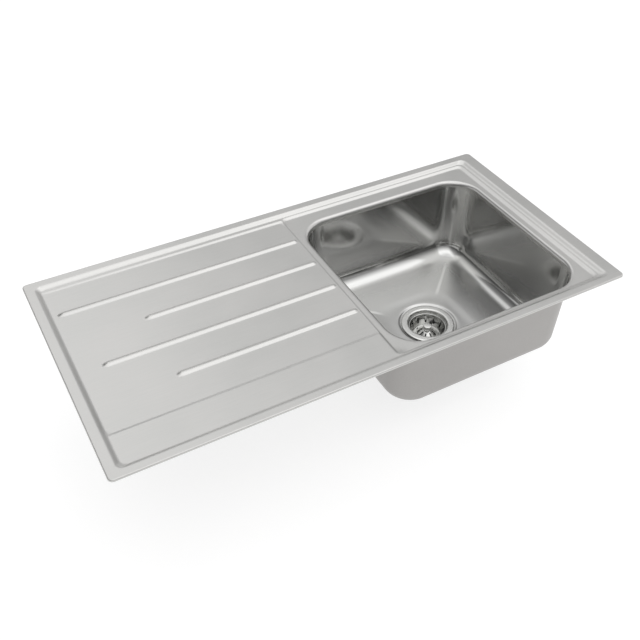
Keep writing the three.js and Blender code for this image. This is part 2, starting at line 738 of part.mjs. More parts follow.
// A drawn basket: rim, sloping wall, trough and a raised dome that carries the stem.
function buildBasket() {
  const t = BASKET_SHEET;
  const bend = BASKET_BEND;
  const lipStart = basketRimRadius - BASKET_LIP;
  const wallTop = lipStart - BASKET_WALL_BEND;
  const bore = STEM_RADIUS + GAP;
  const shoulder = [BASKET_DOME_RADIUS - BASKET_SHOULDER.inset, basketFloor + BASKET_SHOULDER.rise];
  const upper = [
    [bore, domeTop],
    [BASKET_DOME_FLAT, domeTop],
    shoulder,
    [BASKET_DOME_RADIUS, basketFloor + t],
    [BASKET_FLOOR_RADIUS - bend, basketFloor + t],
    [BASKET_FLOOR_RADIUS, basketFloor + t + bend],
    [wallTop, basketTop - bend],
    [lipStart, basketTop],
    [basketRimRadius, basketTop],
  ];
  const lower = [
    [basketRimRadius, basketTop - t],
    [lipStart + t, basketTop - t],
    [wallTop + t, basketTop - bend - t],
    [BASKET_FLOOR_RADIUS + t, basketFloor + bend],
    [BASKET_FLOOR_RADIUS - bend / 2, basketFloor],
    [BASKET_DOME_RADIUS - t, basketFloor],
    [shoulder[0] - t, shoulder[1] - t / 2],
    [BASKET_DOME_FLAT, domeTop - t],
    [bore, domeTop - t],
  ];
  const half = BASKET_SLOT_WIDTH / 2;
  const wallSlot = prism(
    boxPoints(BASKET_FLOOR_RADIUS - t, basketRimRadius, -half, half),
    basketFloor + BASKET_SLOT_MARGIN,
    basketTop - BASKET_SLOT_MARGIN,
  );
  const domeSlot = prism(
    boxPoints(BASKET_DOME_FLAT + DOME_SLOT_MARGIN, BASKET_DOME_RADIUS - DOME_SLOT_MARGIN, -half, half),
    basketFloor - CUT,
    domeTop + CUT,
  );
  const slots = ringOfTools(solidOf(wallSlot), BASKET_WALL_SLOTS);
  const domeSlots = ringOfTools(solidOf(domeSlot), BASKET_DOME_SLOTS);
  return geometryOf(solidOf(turned([...upper, ...lower])).subtract(slots).subtract(domeSlots));
}

place('basket', buildBasket(), polished, waste);

place('basket_seal', turned([
  [STEM_RADIUS + GAP, stopperBottom],
  [STOPPER_RADIUS - STOPPER_EDGE, stopperBottom],
  [STOPPER_RADIUS, stopperBottom + STOPPER_THICKNESS / 2],
  [STOPPER_RADIUS - STOPPER_LIP, stopperTop],
  [STEM_RADIUS + GAP, stopperTop],
]), darkRubber, waste);

function buildKnob() {
  const shoulder = domeTop + GAP;
  const knobBase = shoulder + KNOB_NECK;
  const knobTop = knobBase + KNOB_HEIGHT;
  return turned([
    [0, stopperBottom],
    [STEM_RADIUS, stopperBottom],
    [STEM_RADIUS, shoulder],
    [STEM_RADIUS + KNOB_FOOT, shoulder],
    [STEM_RADIUS + KNOB_WAIST, knobBase],
    [KNOB_RADIUS, knobBase + KNOB_EDGE],
    [KNOB_RADIUS, knobTop - KNOB_EDGE],
    [KNOB_RADIUS - KNOB_EDGE, knobTop],
    [0, knobTop],
  ], 2 * SMALL_SIDES);
}

place('basket_knob', buildKnob(), polished, waste);

// ---------------------------------------------------------------- clamping clips

// Height of the deck's underside at a clip.
function undersideAt(x, y) {
  const inTray = x < surroundTop.x0 && y > trayBottom.y0 && y < trayBottom.y1;
  if (inTray) {
    return Math.min(trayFloor(x - BRACKET.length / 2), trayFloor(x + BRACKET.length / 2)) - SHEET;
  }
  return (x < surroundTop.x0 ? stepFloor : surroundFloor) - SHEET;
}

// A hat channel: two feet welded under the deck and a lower web that the bolt hangs from.
function buildBracket() {
  const { length, width, sheet, hat, drop } = BRACKET;
  const halfFeet = length / 2;
  const halfHat = hat / 2;
  const web = sheet - drop;
  const profile = [
    [-halfFeet, 0], [-halfFeet, -sheet], [-halfHat, -sheet], [-halfHat, -drop],
    [halfHat, -drop], [halfHat, -sheet], [halfFeet, -sheet], [halfFeet, 0],
    [halfHat - sheet, 0], [halfHat - sheet, web], [sheet - halfHat, web], [sheet - halfHat, 0],
  ];
  const hatShape = prism(profile, -width / 2, width / 2);
  hatShape.rotateX(Math.PI / 2);
  const hole = solidOf(rod(BOLT_RADIUS + BOLT_HOLE_CLEARANCE, -drop - CUT, web + CUT, CLIP_SIDES));
  return geometryOf(solidOf(hatShape).subtract(hole));
}

function buildBolt(underside) {
  const headBottom = underside - GAP - BRACKET.drop + BRACKET.sheet + GAP;
  return turned([
    [0, headBottom + BOLT_HEAD.height],
    [BOLT_HEAD.radius, headBottom + BOLT_HEAD.height],
    [BOLT_HEAD.radius, headBottom],
    [BOLT_RADIUS, headBottom],
    [BOLT_RADIUS, BOLT_CHAMFER - BOLT_REACH],
    [BOLT_RADIUS - BOLT_CHAMFER, -BOLT_REACH],
    [0, -BOLT_REACH],
  ], CLIP_SIDES);
}

// A flat arm with a cranked, toothed tip. Along +X it points from the bolt to its tip.
function buildArm() {
  const { reach, heel, width, sheet, crank, rise, teeth, toothDepth } = ARM;
  const tip = rise + sheet;
  const under = rise - sheet - toothDepth;
  const pitch = (reach - crank - tip) / teeth;
  const top = [];
  for (let i = 0; i < teeth; i += 1) {
    const x = reach - i * pitch;
    top.push([x, rise], [x - pitch, rise - toothDepth]);
  }
  const profile = [
    [-heel, -sheet], [crank, -sheet], [crank + tip, under], [reach, under],
    ...top,
    [crank, 0], [-heel, 0],
  ];
  const bar = prism(profile, -width / 2, width / 2);
  bar.rotateX(Math.PI / 2);
  const hole = solidOf(rod(BOLT_RADIUS + BOLT_HOLE_CLEARANCE, -sheet - CUT, CUT, CLIP_SIDES));
  return geometryOf(solidOf(bar).subtract(hole)).translate(0, 0, -ARM_TOP);
}

function buildNut() {
  const { flangeRadius, flangeHeight, hexRadius, hexHeight, clearance } = NUT;
  const top = -ARM_TOP - ARM.sheet - GAP;
  const middle = top - flangeHeight;
  const flange = solidOf(rod(flangeRadius, middle, top));
  const hex = solidOf(rod(hexRadius, middle - hexHeight, middle, 6));
  const bore = solidOf(rod(BOLT_RADIUS + clearance, middle - hexHeight - CUT, top + CUT, CLIP_SIDES));
  return geometryOf(flange.add(hex).subtract(bore));
}

// Each clip faces the nearest side of the rim; its parked arm lies along that side.
function clipStations() {
  const stations = [];
  const firstX = -halfLength + FRONT_CLIP_ENDS.left;
  const lastX = bowlMouth.x0 - FRONT_CLIP_ENDS.bowl;
  for (let i = 0; i < FRONT_CLIPS; i += 1) {
    const x = mix(firstX, lastX, i / (FRONT_CLIPS - 1));
    stations.push({ x, y: -halfWidth + CLIP_INSET, facing: -90 });
  }
  for (const offset of REAR_CLIP_OFFSETS) {
    stations.push({ x: -halfLength + offset, y: halfWidth - CLIP_INSET, facing: 90 });
  }
  stations.push({ x: -halfLength + CLIP_INSET, y: 0, facing: 180 });
  stations.push({ x: halfLength - CLIP_INSET, y: 0, facing: 0 });
  return stations;
}

clipStations().forEach(({ x, y, facing }, i) => {
  const clip = new THREE.Group();
  clip.position.set(x, y, 0);
  clip.rotation.z = THREE.MathUtils.degToRad(facing - 90);
  sink.add(clip);
  const underside = undersideAt(x, y);
  const number = i + 1;
  const bracket = place(`clip_bracket_${number}`, buildBracket(), zinc, clip);
  bracket.position.z = underside - GAP;
  place(`clip_bolt_${number}`, buildBolt(underside), zinc, clip);
  place(`clip_arm_${number}`, buildArm(), zinc, clip);
  place(`clip_nut_${number}`, buildNut(), zinc, clip);
});

export default sink;
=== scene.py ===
import json
import math

import bmesh
import bpy
import numpy as np
from mathutils import Matrix, Vector


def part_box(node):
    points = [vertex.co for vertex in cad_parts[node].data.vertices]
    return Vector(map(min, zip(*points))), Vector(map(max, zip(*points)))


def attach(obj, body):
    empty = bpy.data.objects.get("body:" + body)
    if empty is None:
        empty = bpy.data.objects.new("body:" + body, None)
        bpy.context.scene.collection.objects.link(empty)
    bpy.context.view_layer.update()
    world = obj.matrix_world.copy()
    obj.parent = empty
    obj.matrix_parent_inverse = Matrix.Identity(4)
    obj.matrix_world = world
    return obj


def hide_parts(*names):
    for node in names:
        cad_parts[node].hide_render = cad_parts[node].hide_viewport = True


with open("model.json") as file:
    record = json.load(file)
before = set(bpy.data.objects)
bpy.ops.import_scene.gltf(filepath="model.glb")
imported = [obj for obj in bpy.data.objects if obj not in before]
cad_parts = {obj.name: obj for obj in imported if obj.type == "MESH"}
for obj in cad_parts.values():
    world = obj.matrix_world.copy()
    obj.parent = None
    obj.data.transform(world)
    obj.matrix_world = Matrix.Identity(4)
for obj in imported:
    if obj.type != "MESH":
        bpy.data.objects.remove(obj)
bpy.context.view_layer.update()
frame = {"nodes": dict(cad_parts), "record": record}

MM = 0.001  # every size below is in millimetres, and every height is above the worktop


# ---------------------------------------------------------------- sizes of the sink

# The deck. Each outline is a rounded rectangle, and each pair of outlines bounds a slope.
RIM = dict(x0=-500.0, x1=500.0, y0=-250.0, y1=250.0, r=9.0)
RIM_TOP = 4.5
LIP_BOTTOM = 0.5
EDGE_ROLL = 2.0  # rounding along the top of the lip
SHEET = 1.0
STEP_FLOOR = -0.5
SURROUND_FLOOR = -3.5
STEP_TOP = dict(x0=-483.0, x1=475.0, y0=-236.0, y1=234.0, r=12.0)
STEP_BOTTOM = dict(x0=-473.0, x1=461.0, y0=-226.0, y1=224.0, r=12.0)
SURROUND_TOP = dict(x0=8.0, x1=460.5, y0=-225.5, y1=223.5, r=12.0)
SURROUND_BOTTOM = dict(x0=14.0, x1=450.5, y0=-220.5, y1=215.5, r=12.0)
TRAY_TOP = dict(x0=-482.0, x1=18.0, y0=-164.0, y1=219.0, r=10.0)
TRAY_BOTTOM = dict(x0=-472.0, x1=11.0, y0=-157.0, y1=212.0, r=10.0)
TRAY_DROP = (1.2, 2.2)  # below the step floor at the tray's left and right ends
RIB_HALF = 7.2  # half the width of a rib
RIB_HEIGHT = 2.9
RIB_SIDE = 6.6  # width of the rounded side of a rib
RIB_TIP = 14.0  # length over which a rib rises from its left end
RIB_RIGHT = 9.0
RIBS = ((-337.0, -89.5), (-436.0, -11.5), (-335.0, 66.5), (-466.0, 144.5))  # left end and centre line

# The bowl, from its mouth in the deck down to the waste hole.
MOUTH = dict(x0=30.0, x1=434.0, y0=-212.0, y1=184.0, r=62.0)
ROLL_RADIUS = 8.0  # the deck's edge rolls over into the bowl
COLLAR_BOTTOM = -15.5  # where the deck ends and the bowl is welded on
BOWL_DRAFT = math.radians(2.5)
FLOOR_EDGE = -185.5
FLOOR_FILLET = 36.0
FLOOR_FALL = 5.0  # from the floor's edge to the waste seat
FLOOR_CREASE = 0.08  # height of the ridge pressed along each fold
WASTE = (232.0, -14.0)
SEAT_RADIUS = 60.0
SEAT_SLOPE = 3.0
SEAT_DEPTH = 2.5
WASTE_HOLE = 45.0


# ---------------------------------------------------------------- outlines and meshes

HALVINGS = 22  # times that the way down a slope is narrowed, which leaves no error that shows
SAME_POINT = 0.004  # points closer than this are one
SHARP_CORNER = math.radians(40)


def inset(outline, amount):
    """The outline moved inwards all round, or outwards for a negative amount."""
    return dict(x0=outline["x0"] + amount, x1=outline["x1"] - amount, y0=outline["y0"] + amount,
                y1=outline["y1"] - amount, r=max(outline["r"] - amount, 0.0))


def between(first, second, share):
    """The outline at a share of the way from one outline to another."""
    return {key: first[key] + (second[key] - first[key]) * share for key in first}


def distance(x, y, outline):
    """Signed distance from a rounded rectangle, negative inside it."""
    half_x = (outline["x1"] - outline["x0"]) / 2 - outline["r"]
    half_y = (outline["y1"] - outline["y0"]) / 2 - outline["r"]
    qx = np.abs(x - (outline["x0"] + outline["x1"]) / 2) - half_x
    qy = np.abs(y - (outline["y0"] + outline["y1"]) / 2) - half_y
    outside = np.hypot(np.maximum(qx, 0), np.maximum(qy, 0))
    return outside + np.minimum(np.maximum(qx, qy), 0) - outline["r"]


def ease(share):
    """A smooth S from 0 to 1."""
    return (1 - np.cos(np.pi * np.clip(share, 0, 1))) / 2


def way_down(x, y, top, bottom):
    """How far a point is down the slope between two outlines: 0 outside the first, 1 inside the second."""
    low = np.zeros_like(x)
    high = np.ones_like(x)
    for _ in range(HALVINGS):
        middle = (low + high) / 2
        inside = distance(x, y, between(top, bottom, middle)) < 0
        low = np.where(inside, middle, low)
        high = np.where(inside, high, middle)
    return np.where(distance(x, y, top) >= 0, 0.0, np.where(distance(x, y, bottom) < 0, 1.0, low))


def ring(outline, height, corner=12, side=1):
    """Points round a rounded rectangle, anticlockwise from its right side."""
    x0, x1, y0, y1, r = (outline[key] for key in ("x0", "x1", "y0", "y1", "r"))
    centres = ((x1 - r, y1 - r), (x0 + r, y1 - r), (x0 + r, y0 + r), (x1 - r, y0 + r))
    points = []
    for number, (cx, cy) in enumerate(centres):
        for step in range(corner + 1):
            angle = (number + step / corner) * math.pi / 2
            points.append((cx + r * math.cos(angle), cy + r * math.sin(angle)))
        nx, ny = centres[(number + 1) % 4]
        angle = (number + 1) * math.pi / 2
        end = (nx + r * math.cos(angle), ny + r * math.sin(angle))
        start = points[-1]
        for step in range(1, side):
            share = step / side
            points.append((start[0] + (end[0] - start[0]) * share, start[1] + (end[1] - start[1]) * share))
    return np.array([(px, py, height) for px, py in points])


def loft_faces(rings, count, closed=False):
    """Faces between rings of equally many points, and from the last ring back to the first if closed."""
    faces = []
    for band in range(rings if closed else rings - 1):
        low = band * count
        high = (band + 1) % rings * count
        for i in range(count):
            j = (i + 1) % count
            faces.append((low + i, low + j, high + j, high + i))
    return faces


def joined(*parts):
    """Puts several meshes into one list of points and one of faces."""
    points, faces = [], []
    for more_points, more_faces in parts:
        start = len(points)
        points.extend(more_points)
        faces.extend(tuple(start + v for v in face) for face in more_faces)
    return points, faces


def fitted(piece, body, node):
    """Puts a finished piece on its body, in the place of its CAD node."""
    bpy.context.scene.collection.objects.link(piece)
    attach(piece, body)
    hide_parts(node)


def mesh_piece(name, points, faces, materials, node, slot, body="sink", closed=False):
    """A piece from points in millimetres. Cut edges are sharp, and so are the corners of closed pieces."""
    mesh = bpy.data.meshes.new(name)
    mesh.from_pydata([tuple(p) for p in np.asarray(points, float) * MM], [], faces)
    mesh.validate()
    mesh.shade_smooth()
    shell = bmesh.new()
    shell.from_mesh(mesh)
    if closed:
        bmesh.ops.remove_doubles(shell, verts=shell.verts, dist=SAME_POINT * MM)
        bmesh.ops.recalc_face_normals(shell, faces=shell.faces)
    for edge in shell.edges:
        edge.smooth = not edge.is_boundary
    shell.to_mesh(mesh)
    shell.free()
    if closed:
        mesh.set_sharp_from_angle(angle=SHARP_CORNER)
    for material in materials:
        mesh.materials.append(material)
    piece = bpy.data.objects.new(name, mesh)
    fitted(piece, body, node)
    return piece


def modifier(piece, kind, **settings):
    added = piece.modifiers.new(kind.lower(), kind)
    for key, value in settings.items():
        setattr(added, key, value)


def thicken(piece, thickness=SHEET, other_side=0):
    """Sheet metal: the drawn skin gets its thickness, with the other material on its hidden side."""
    modifier(piece, "SOLIDIFY", thickness=thickness * MM, offset=-1, use_even_offset=True,
             material_offset=other_side, material_offset_rim=other_side)


def turned(profile, sides=96, centre=WASTE):
    """Points and faces of a lathe round Z, from (radius, height) pairs."""
    points = []
    for radius, z in profile:
        for i in range(sides):
            angle = 2 * math.pi * i / sides
            points.append((centre[0] + radius * math.cos(angle), centre[1] + radius * math.sin(angle), z))
    return points, loft_faces(len(profile), sides)


def arc(cx, cz, radius, start, end, steps=8):
    """Profile points along a quarter round, angles in degrees."""
    angles = [math.radians(start + (end - start) * i / steps) for i in range(steps + 1)]
    return [(cx + radius * math.cos(a), cz + radius * math.sin(a)) for a in angles]


# ---------------------------------------------------------------- materials

def colour(code):
    """An sRGB hex colour as linear values."""
    parts = [int(code[i:i + 2], 16) / 255 for i in (1, 3, 5)]
    linear = [c / 12.92 if c <= 0.04045 else ((c + 0.055) / 1.055) ** 2.4 for c in parts]
    return (*linear, 1.0)


def grey(value):
    """A plain grey that is linear already, for lights."""
    return (value, value, value, 1.0)


def new_material(name):
    material = bpy.data.materials.new(name)
    material.use_nodes = True
    material.node_tree.nodes.clear()
    return material


def add(material, kind, inputs=None, links=None, stops=(), **settings):
    """Adds one node with its settings, input values and links from other nodes, and a ramp's stops."""
    node = material.node_tree.nodes.new(kind)
    for key, value in settings.items():
        setattr(node, key, value)
    for key, value in (inputs or {}).items():
        node.inputs[key].default_value = value
    for key, (source, output) in (links or {}).items():
        material.node_tree.links.new(source.outputs[output], node.inputs[key])
    for number, (place, tone) in enumerate(stops):
        elements = node.color_ramp.elements
        stop = elements[number] if number < 2 else elements.new(place)
        stop.position, stop.color = place, tone
    return node


# The noise textures give mostly values between these, so tones and roughness are spread over them.
TONE_SPREAD = (0.35, 0.65)
ROUGH_SPREAD = (0.3, 0.7)
STEEL_CLOUD = 160.0  # width of the slow clouds that rolling leaves in a steel sheet
STEEL_RELIEF = 0.02  # depth of the finish's grain
GRAIN_SHARE = 0.45  # how much of a steel's tone is grain, the rest being cloud
# A paler tone painted along the crests of the floor's folds: a painted highlight.
FOLD_HIGHLIGHT_COLOUR = "#eeeeec"
RUB_ROUGHNESS = 0.16  # added where the steel is rubbed
CLOUD_GRAINS = 20  # width of a moulded material's clouds, in grains
CLOUD_SHARE = 0.5  # how much of its tone they are


def stainless(name, tones, roughness, grain, bump, stretch=(1.0, 1.0, 1.0), satin=None, rubbed_and_highlit=None):
    """Stainless steel sheet: a slow cloud of tone, and the finish's grain in tone, roughness and relief.

    A stretch below 1 draws the grain out into lines along that axis. Satin is the two heights between
    which the steel gets rougher, and by how much. The last argument names the mesh attribute of the rubbed
    fold crests, which get rougher and are painted paler as a painted highlight.
    """
    steel = new_material(name)
    place = add(steel, "ShaderNodeTexCoord")
    scaled = add(steel, "ShaderNodeMapping", {"Scale": tuple(1000.0 / grain * s for s in stretch)},
                 {"Vector": (place, "Object")})
    lines = add(steel, "ShaderNodeTexNoise", {"Scale": 1.0, "Detail": 3.0, "Roughness": 0.6},
                {"Vector": (scaled, 0)})
    cloud = add(steel, "ShaderNodeTexNoise", {"Scale": 1000.0 / STEEL_CLOUD, "Detail": 2.0},
                {"Vector": (place, "Object")})
    mixed = add(steel, "ShaderNodeMath", {1: GRAIN_SHARE}, {0: (lines, "Fac")}, operation="MULTIPLY")
    blend = add(steel, "ShaderNodeMath", {1: 1 - GRAIN_SHARE}, {0: (cloud, "Fac"), 2: (mixed, 0)},
                operation="MULTIPLY_ADD")
    tone = add(steel, "ShaderNodeValToRGB", links={"Fac": (blend, 0)},
               stops=[(level, colour(code)) for level, code in zip(TONE_SPREAD, tones)])
    rough = add(steel, "ShaderNodeMapRange", {"From Min": ROUGH_SPREAD[0], "From Max": ROUGH_SPREAD[1],
                                              "To Min": roughness[0], "To Max": roughness[1]},
                {"Value": (blend, 0)})
    relief = add(steel, "ShaderNodeBump", {"Strength": bump, "Distance": STEEL_RELIEF * MM},
                 {"Height": (lines, "Fac")})
    if satin:
        height = add(steel, "ShaderNodeSeparateXYZ", links={0: (place, "Object")})
        lower = add(steel, "ShaderNodeMapRange", {"From Min": satin[0] * MM, "From Max": satin[1] * MM,
                                                  "To Min": satin[2], "To Max": 0.0},
                    {"Value": (height, "Z")}, interpolation_type="SMOOTHSTEP")
        rough = add(steel, "ShaderNodeMath", links={0: (rough, 0), 1: (lower, 0)}, operation="ADD")
    # Along the marked fold crests the tone is painted paler, as a painted highlight, and the steel is made
    # rougher.
    if rubbed_and_highlit:
        rub_and_highlight_mask = add(steel, "ShaderNodeAttribute", attribute_name=rubbed_and_highlit)
        tone = add(steel, "ShaderNodeMixRGB", {"Color2": colour(FOLD_HIGHLIGHT_COLOUR)},
                   {"Fac": (rub_and_highlight_mask, "Fac"), "Color1": (tone, 0)})
        rough = add(steel, "ShaderNodeMath", {1: RUB_ROUGHNESS}, {0: (rub_and_highlight_mask, "Fac"), 2: (rough, 0)},
                    operation="MULTIPLY_ADD")
    shader = add(steel, "ShaderNodeBsdfPrincipled", {"Metallic": 1.0},
                 {"Base Color": (tone, "Color"), "Roughness": (rough, 0), "Normal": (relief, 0)})
    add(steel, "ShaderNodeOutputMaterial", links={"Surface": (shader, 0)})
    return steel


def moulded(name, tones, roughness, grain, bump, metallic=0.0, depth=0.05):
    """A plain moulded, foamed, turned or plated material with a fine even grain and slow clouds."""
    stuff = new_material(name)
    place = add(stuff, "ShaderNodeTexCoord")
    fine = add(stuff, "ShaderNodeTexNoise", {"Scale": 1000.0 / grain, "Detail": 4.0, "Roughness": 0.65},
               {"Vector": (place, "Object")})
    cloud = add(stuff, "ShaderNodeTexNoise", {"Scale": 1000.0 / (CLOUD_GRAINS * grain), "Detail": 2.0},
                {"Vector": (place, "Object")})
    slow = add(stuff, "ShaderNodeMath", {1: CLOUD_SHARE}, {0: (cloud, "Fac")}, operation="MULTIPLY")
    both = add(stuff, "ShaderNodeMath", {1: 1 - CLOUD_SHARE}, {0: (fine, "Fac"), 2: (slow, 0)},
               operation="MULTIPLY_ADD")
    tone = add(stuff, "ShaderNodeValToRGB", links={"Fac": (both, 0)},
               stops=[(level, colour(code)) for level, code in zip(TONE_SPREAD, tones)])
    rough = add(stuff, "ShaderNodeMapRange", {"From Min": ROUGH_SPREAD[0], "From Max": ROUGH_SPREAD[1],
                                              "To Min": roughness[0], "To Max": roughness[1]},
                {"Value": (fine, "Fac")})
    relief = add(stuff, "ShaderNodeBump", {"Strength": bump, "Distance": depth * MM},
                 {"Height": (fine, "Fac")})
    shader = add(stuff, "ShaderNodeBsdfPrincipled", {"Metallic": metallic},
                 {"Base Color": (tone, "Color"), "Roughness": (rough, 0), "Normal": (relief, 0)})
    add(stuff, "ShaderNodeOutputMaterial", links={"Surface": (shader, 0)})
    return stuff


# Every grain below is its width in millimetres. The real polishing lines, pores and crystals are finer
# than half a millimetre, so all but the clouds are drawn 1 to 3 mm wide to show at all.

# Pressed stainless sheet, brushed along its length: soft even reflections with faint lines along X,
# drawn 0.8 mm apart, as the real ones of 0.05 mm are too fine to show.
brushed_stainless = stainless("stainless_steel_brushed", tones=("#cacac8", "#d3d2d0"),
                              roughness=(0.31, 0.37), grain=0.8, bump=0.05, stretch=(0.02, 1.0, 1.0))
# The bowl is deep drawn and polished: its walls mirror each other and the waste. The floor is worn to a
# satin, and the press rubs the crest of each fold in it matt. That crest is also painted paler, as a
# painted highlight along each fold.
drawn_stainless = stainless("stainless_steel_drawn_polished", tones=("#c8c8c7", "#d0d0ce"),
                            roughness=(0.10, 0.14), grain=1.5, bump=0.004, satin=(-189.0, -178.0, 0.17),
                            rubbed_and_highlit="fold_rub_and_highlight")
# The hidden side keeps the finish of the rolling mill: duller, slightly warm and a little grainy.
mill_stainless = stainless("stainless_steel_mill_finish", tones=("#a3a19f", "#aeacaa"),
                           roughness=(0.34, 0.44), grain=2.5, bump=0.10)
# The cup, the knob and the centre screw are polished with a soft wheel: pale, with a broad soft shine.
polished_stainless = stainless("stainless_steel_polished", tones=("#dadad8", "#e3e3e1"),
                               roughness=(0.25, 0.31), grain=2.0, bump=0.01)
# The basket is brightened in an acid bath, so it is smooth and mirrors the dark inside of the cup. Its tone
# is painted darker than the other steel, as painted shade in the waste.
basket_stainless = stainless("stainless_steel_electropolished_painted_shade", tones=("#c2c2c0", "#cececc"),
                             roughness=(0.12, 0.18), grain=2.0, bump=0.01)
# Closed-cell EPDM foam, cut in strips from a sheet: dull dark grey, with the pores of the cut cells.
foam_strip = moulded("epdm_foam_closed_cell", tones=("#2d2e30", "#45464a"),
                     roughness=(0.85, 0.98), grain=1.2, bump=0.8)
# Bitumen sound-deadening sheet, rolled: a dull mid grey, lumpy like felt.
deadening_sheet = moulded("bitumen_sheet_rolled", tones=("#4a4c50", "#626468"),
                          roughness=(0.75, 0.92), grain=3.0, bump=0.7, depth=0.2)
# Moulded EPDM rubber of the washers and the stopper: nearly black, with a low satin shine.
moulded_rubber = moulded("epdm_rubber_moulded", tones=("#1f1f20", "#2f2f31"),
                         roughness=(0.55, 0.7), grain=1.5, bump=0.3)
# Injection-moulded white polypropylene: a clean white with the faint waxy shine of its mould.
white_polypropylene = moulded("polypropylene_moulded_white", tones=("#dcdedd", "#eceded"),
                              roughness=(0.38, 0.5), grain=2.0, bump=0.15)
# Turned brass: warm yellow and fairly bright.
turned_brass = moulded("brass_turned", tones=("#b08c46", "#c9a75c"),
                       roughness=(0.25, 0.38), grain=1.0, bump=0.1, metallic=1.0)
# Zinc-plated steel with clear passivation: a cool blue-grey shine, softly clouded.
zinc_plate = moulded("steel_zinc_plated", tones=("#a9acb0", "#c3c5c7"),
                     roughness=(0.3, 0.45), grain=2.5, bump=0.15, metallic=1.0)


# ---------------------------------------------------------------- deck

# The deck is a grid over its flat parts and slopes, with rings of its own round the lip and the mouth.
WIDE_CELL = 9.0  # on the flats
FINE_CELL_X = 1.25  # on the slopes
FINE_CELL_Y = 1.0
SLOPES_X = ((-484, -459), (-2, 16), (448, 476))
SLOPES_Y = ((-237, -219), (-165, -156), (211, 235))
RIB_MARGIN = (1.0, 0.5)  # the fine cells reach this far past a rib along X and Y
LIP_BORDER = 3.0  # the lip's rings take over from the grid this far inside the rim
MOUTH_BORDER = 2.0  # and the mouth's rings this far outside its roll
OVERLAP = 1.0  # both kinds of ring begin this far under the grid
TUCK = 0.02  # and this much below it
LIP_RING = (10, 40)  # steps round a corner and along a side
LIP_STEPS = 6  # round the edge of the lip
MOUTH_RING = (24, 24)
ROLL_STEPS = 10  # down the roll into the mouth


def grid_lines(low, high, wide, close, ranges):
    """Places from low to high: wide apart, and close together inside the given ranges."""
    stops = sorted({low, high, *(v for a, b in ranges for v in (max(a, low), min(b, high)))})
    values = [low]
    for start, end in zip(stops, stops[1:]):
        middle = (start + end) / 2
        fine = any(a <= middle <= b for a, b in ranges)
        count = max(1, math.ceil((end - start) / (close if fine else wide)))
        values.extend(start + (end - start) * (i + 1) / count for i in range(count))
    return np.array(values)


def tray_floor(x):
    """The height of the drainer's floor, which falls towards the bowl."""
    share = (x - TRAY_TOP["x0"]) / (TRAY_TOP["x1"] - TRAY_TOP["x0"])
    return STEP_FLOOR - (TRAY_DROP[0] + (TRAY_DROP[1] - TRAY_DROP[0]) * share)


def deck_height(x, y):
    """The top of the pressed sheet: the steps down from the rim, the ribbed tray and the bowl's surround."""
    down = ease(way_down(x, y, STEP_TOP, STEP_BOTTOM))
    height = RIM_TOP + (STEP_FLOOR - RIM_TOP) * down
    height = height + (tray_floor(x) - STEP_FLOOR) * ease(way_down(x, y, TRAY_TOP, TRAY_BOTTOM))
    surround = ease(way_down(x, y, SURROUND_TOP, SURROUND_BOTTOM))
    dropped = STEP_FLOOR + (SURROUND_FLOOR - STEP_FLOOR) * surround
    height = np.where(surround > 0, np.minimum(height, dropped), height)
    for left, centre in RIBS:
        base = dict(x0=left, x1=RIB_RIGHT, y0=centre - RIB_HALF, y1=centre + RIB_HALF, r=RIB_HALF)
        drawn_in = np.where(x < left + RIB_TIP, left + (x - left) * RIB_HALF / RIB_TIP, x)
        depth = -distance(drawn_in, y, base)
        crown = tray_floor(x) + RIB_HEIGHT * ease(depth / RIB_SIDE)
        height = np.where(depth > 0, np.maximum(height, crown), height)
    return height


def trimmed_grid(xs, ys, outer, hole):
    """A grid whose border points are pulled onto the outer outline and the hole's outline."""
    x, y = np.meshgrid(xs, ys, indexing="ij")
    step = 1e-3
    on_outline = 1e-6
    kept = np.ones((len(xs) - 1, len(ys) - 1), bool)
    for outline, sign in ((outer, 1), (hole, -1)):
        far = sign * distance(x, y, outline)
        gone = far > on_outline
        corners = (gone[:-1, :-1], gone[1:, :-1], gone[1:, 1:], gone[:-1, 1:])
        kept &= ~np.logical_and.reduce(corners)
        touched = np.zeros_like(gone)
        for dx, dy in ((0, 0), (1, 0), (1, 1), (0, 1)):
            touched[dx:dx + kept.shape[0], dy:dy + kept.shape[1]] |= kept
        for _ in range(3):
            far = sign * distance(x, y, outline)
            slope_x = (distance(x + step, y, outline) - distance(x - step, y, outline)) / (2 * step)
            slope_y = (distance(x, y + step, outline) - distance(x, y - step, outline)) / (2 * step)
            moved = gone & touched
            x = np.where(moved, x - sign * far * slope_x, x)
            y = np.where(moved, y - sign * far * slope_y, y)
    return x, y, kept


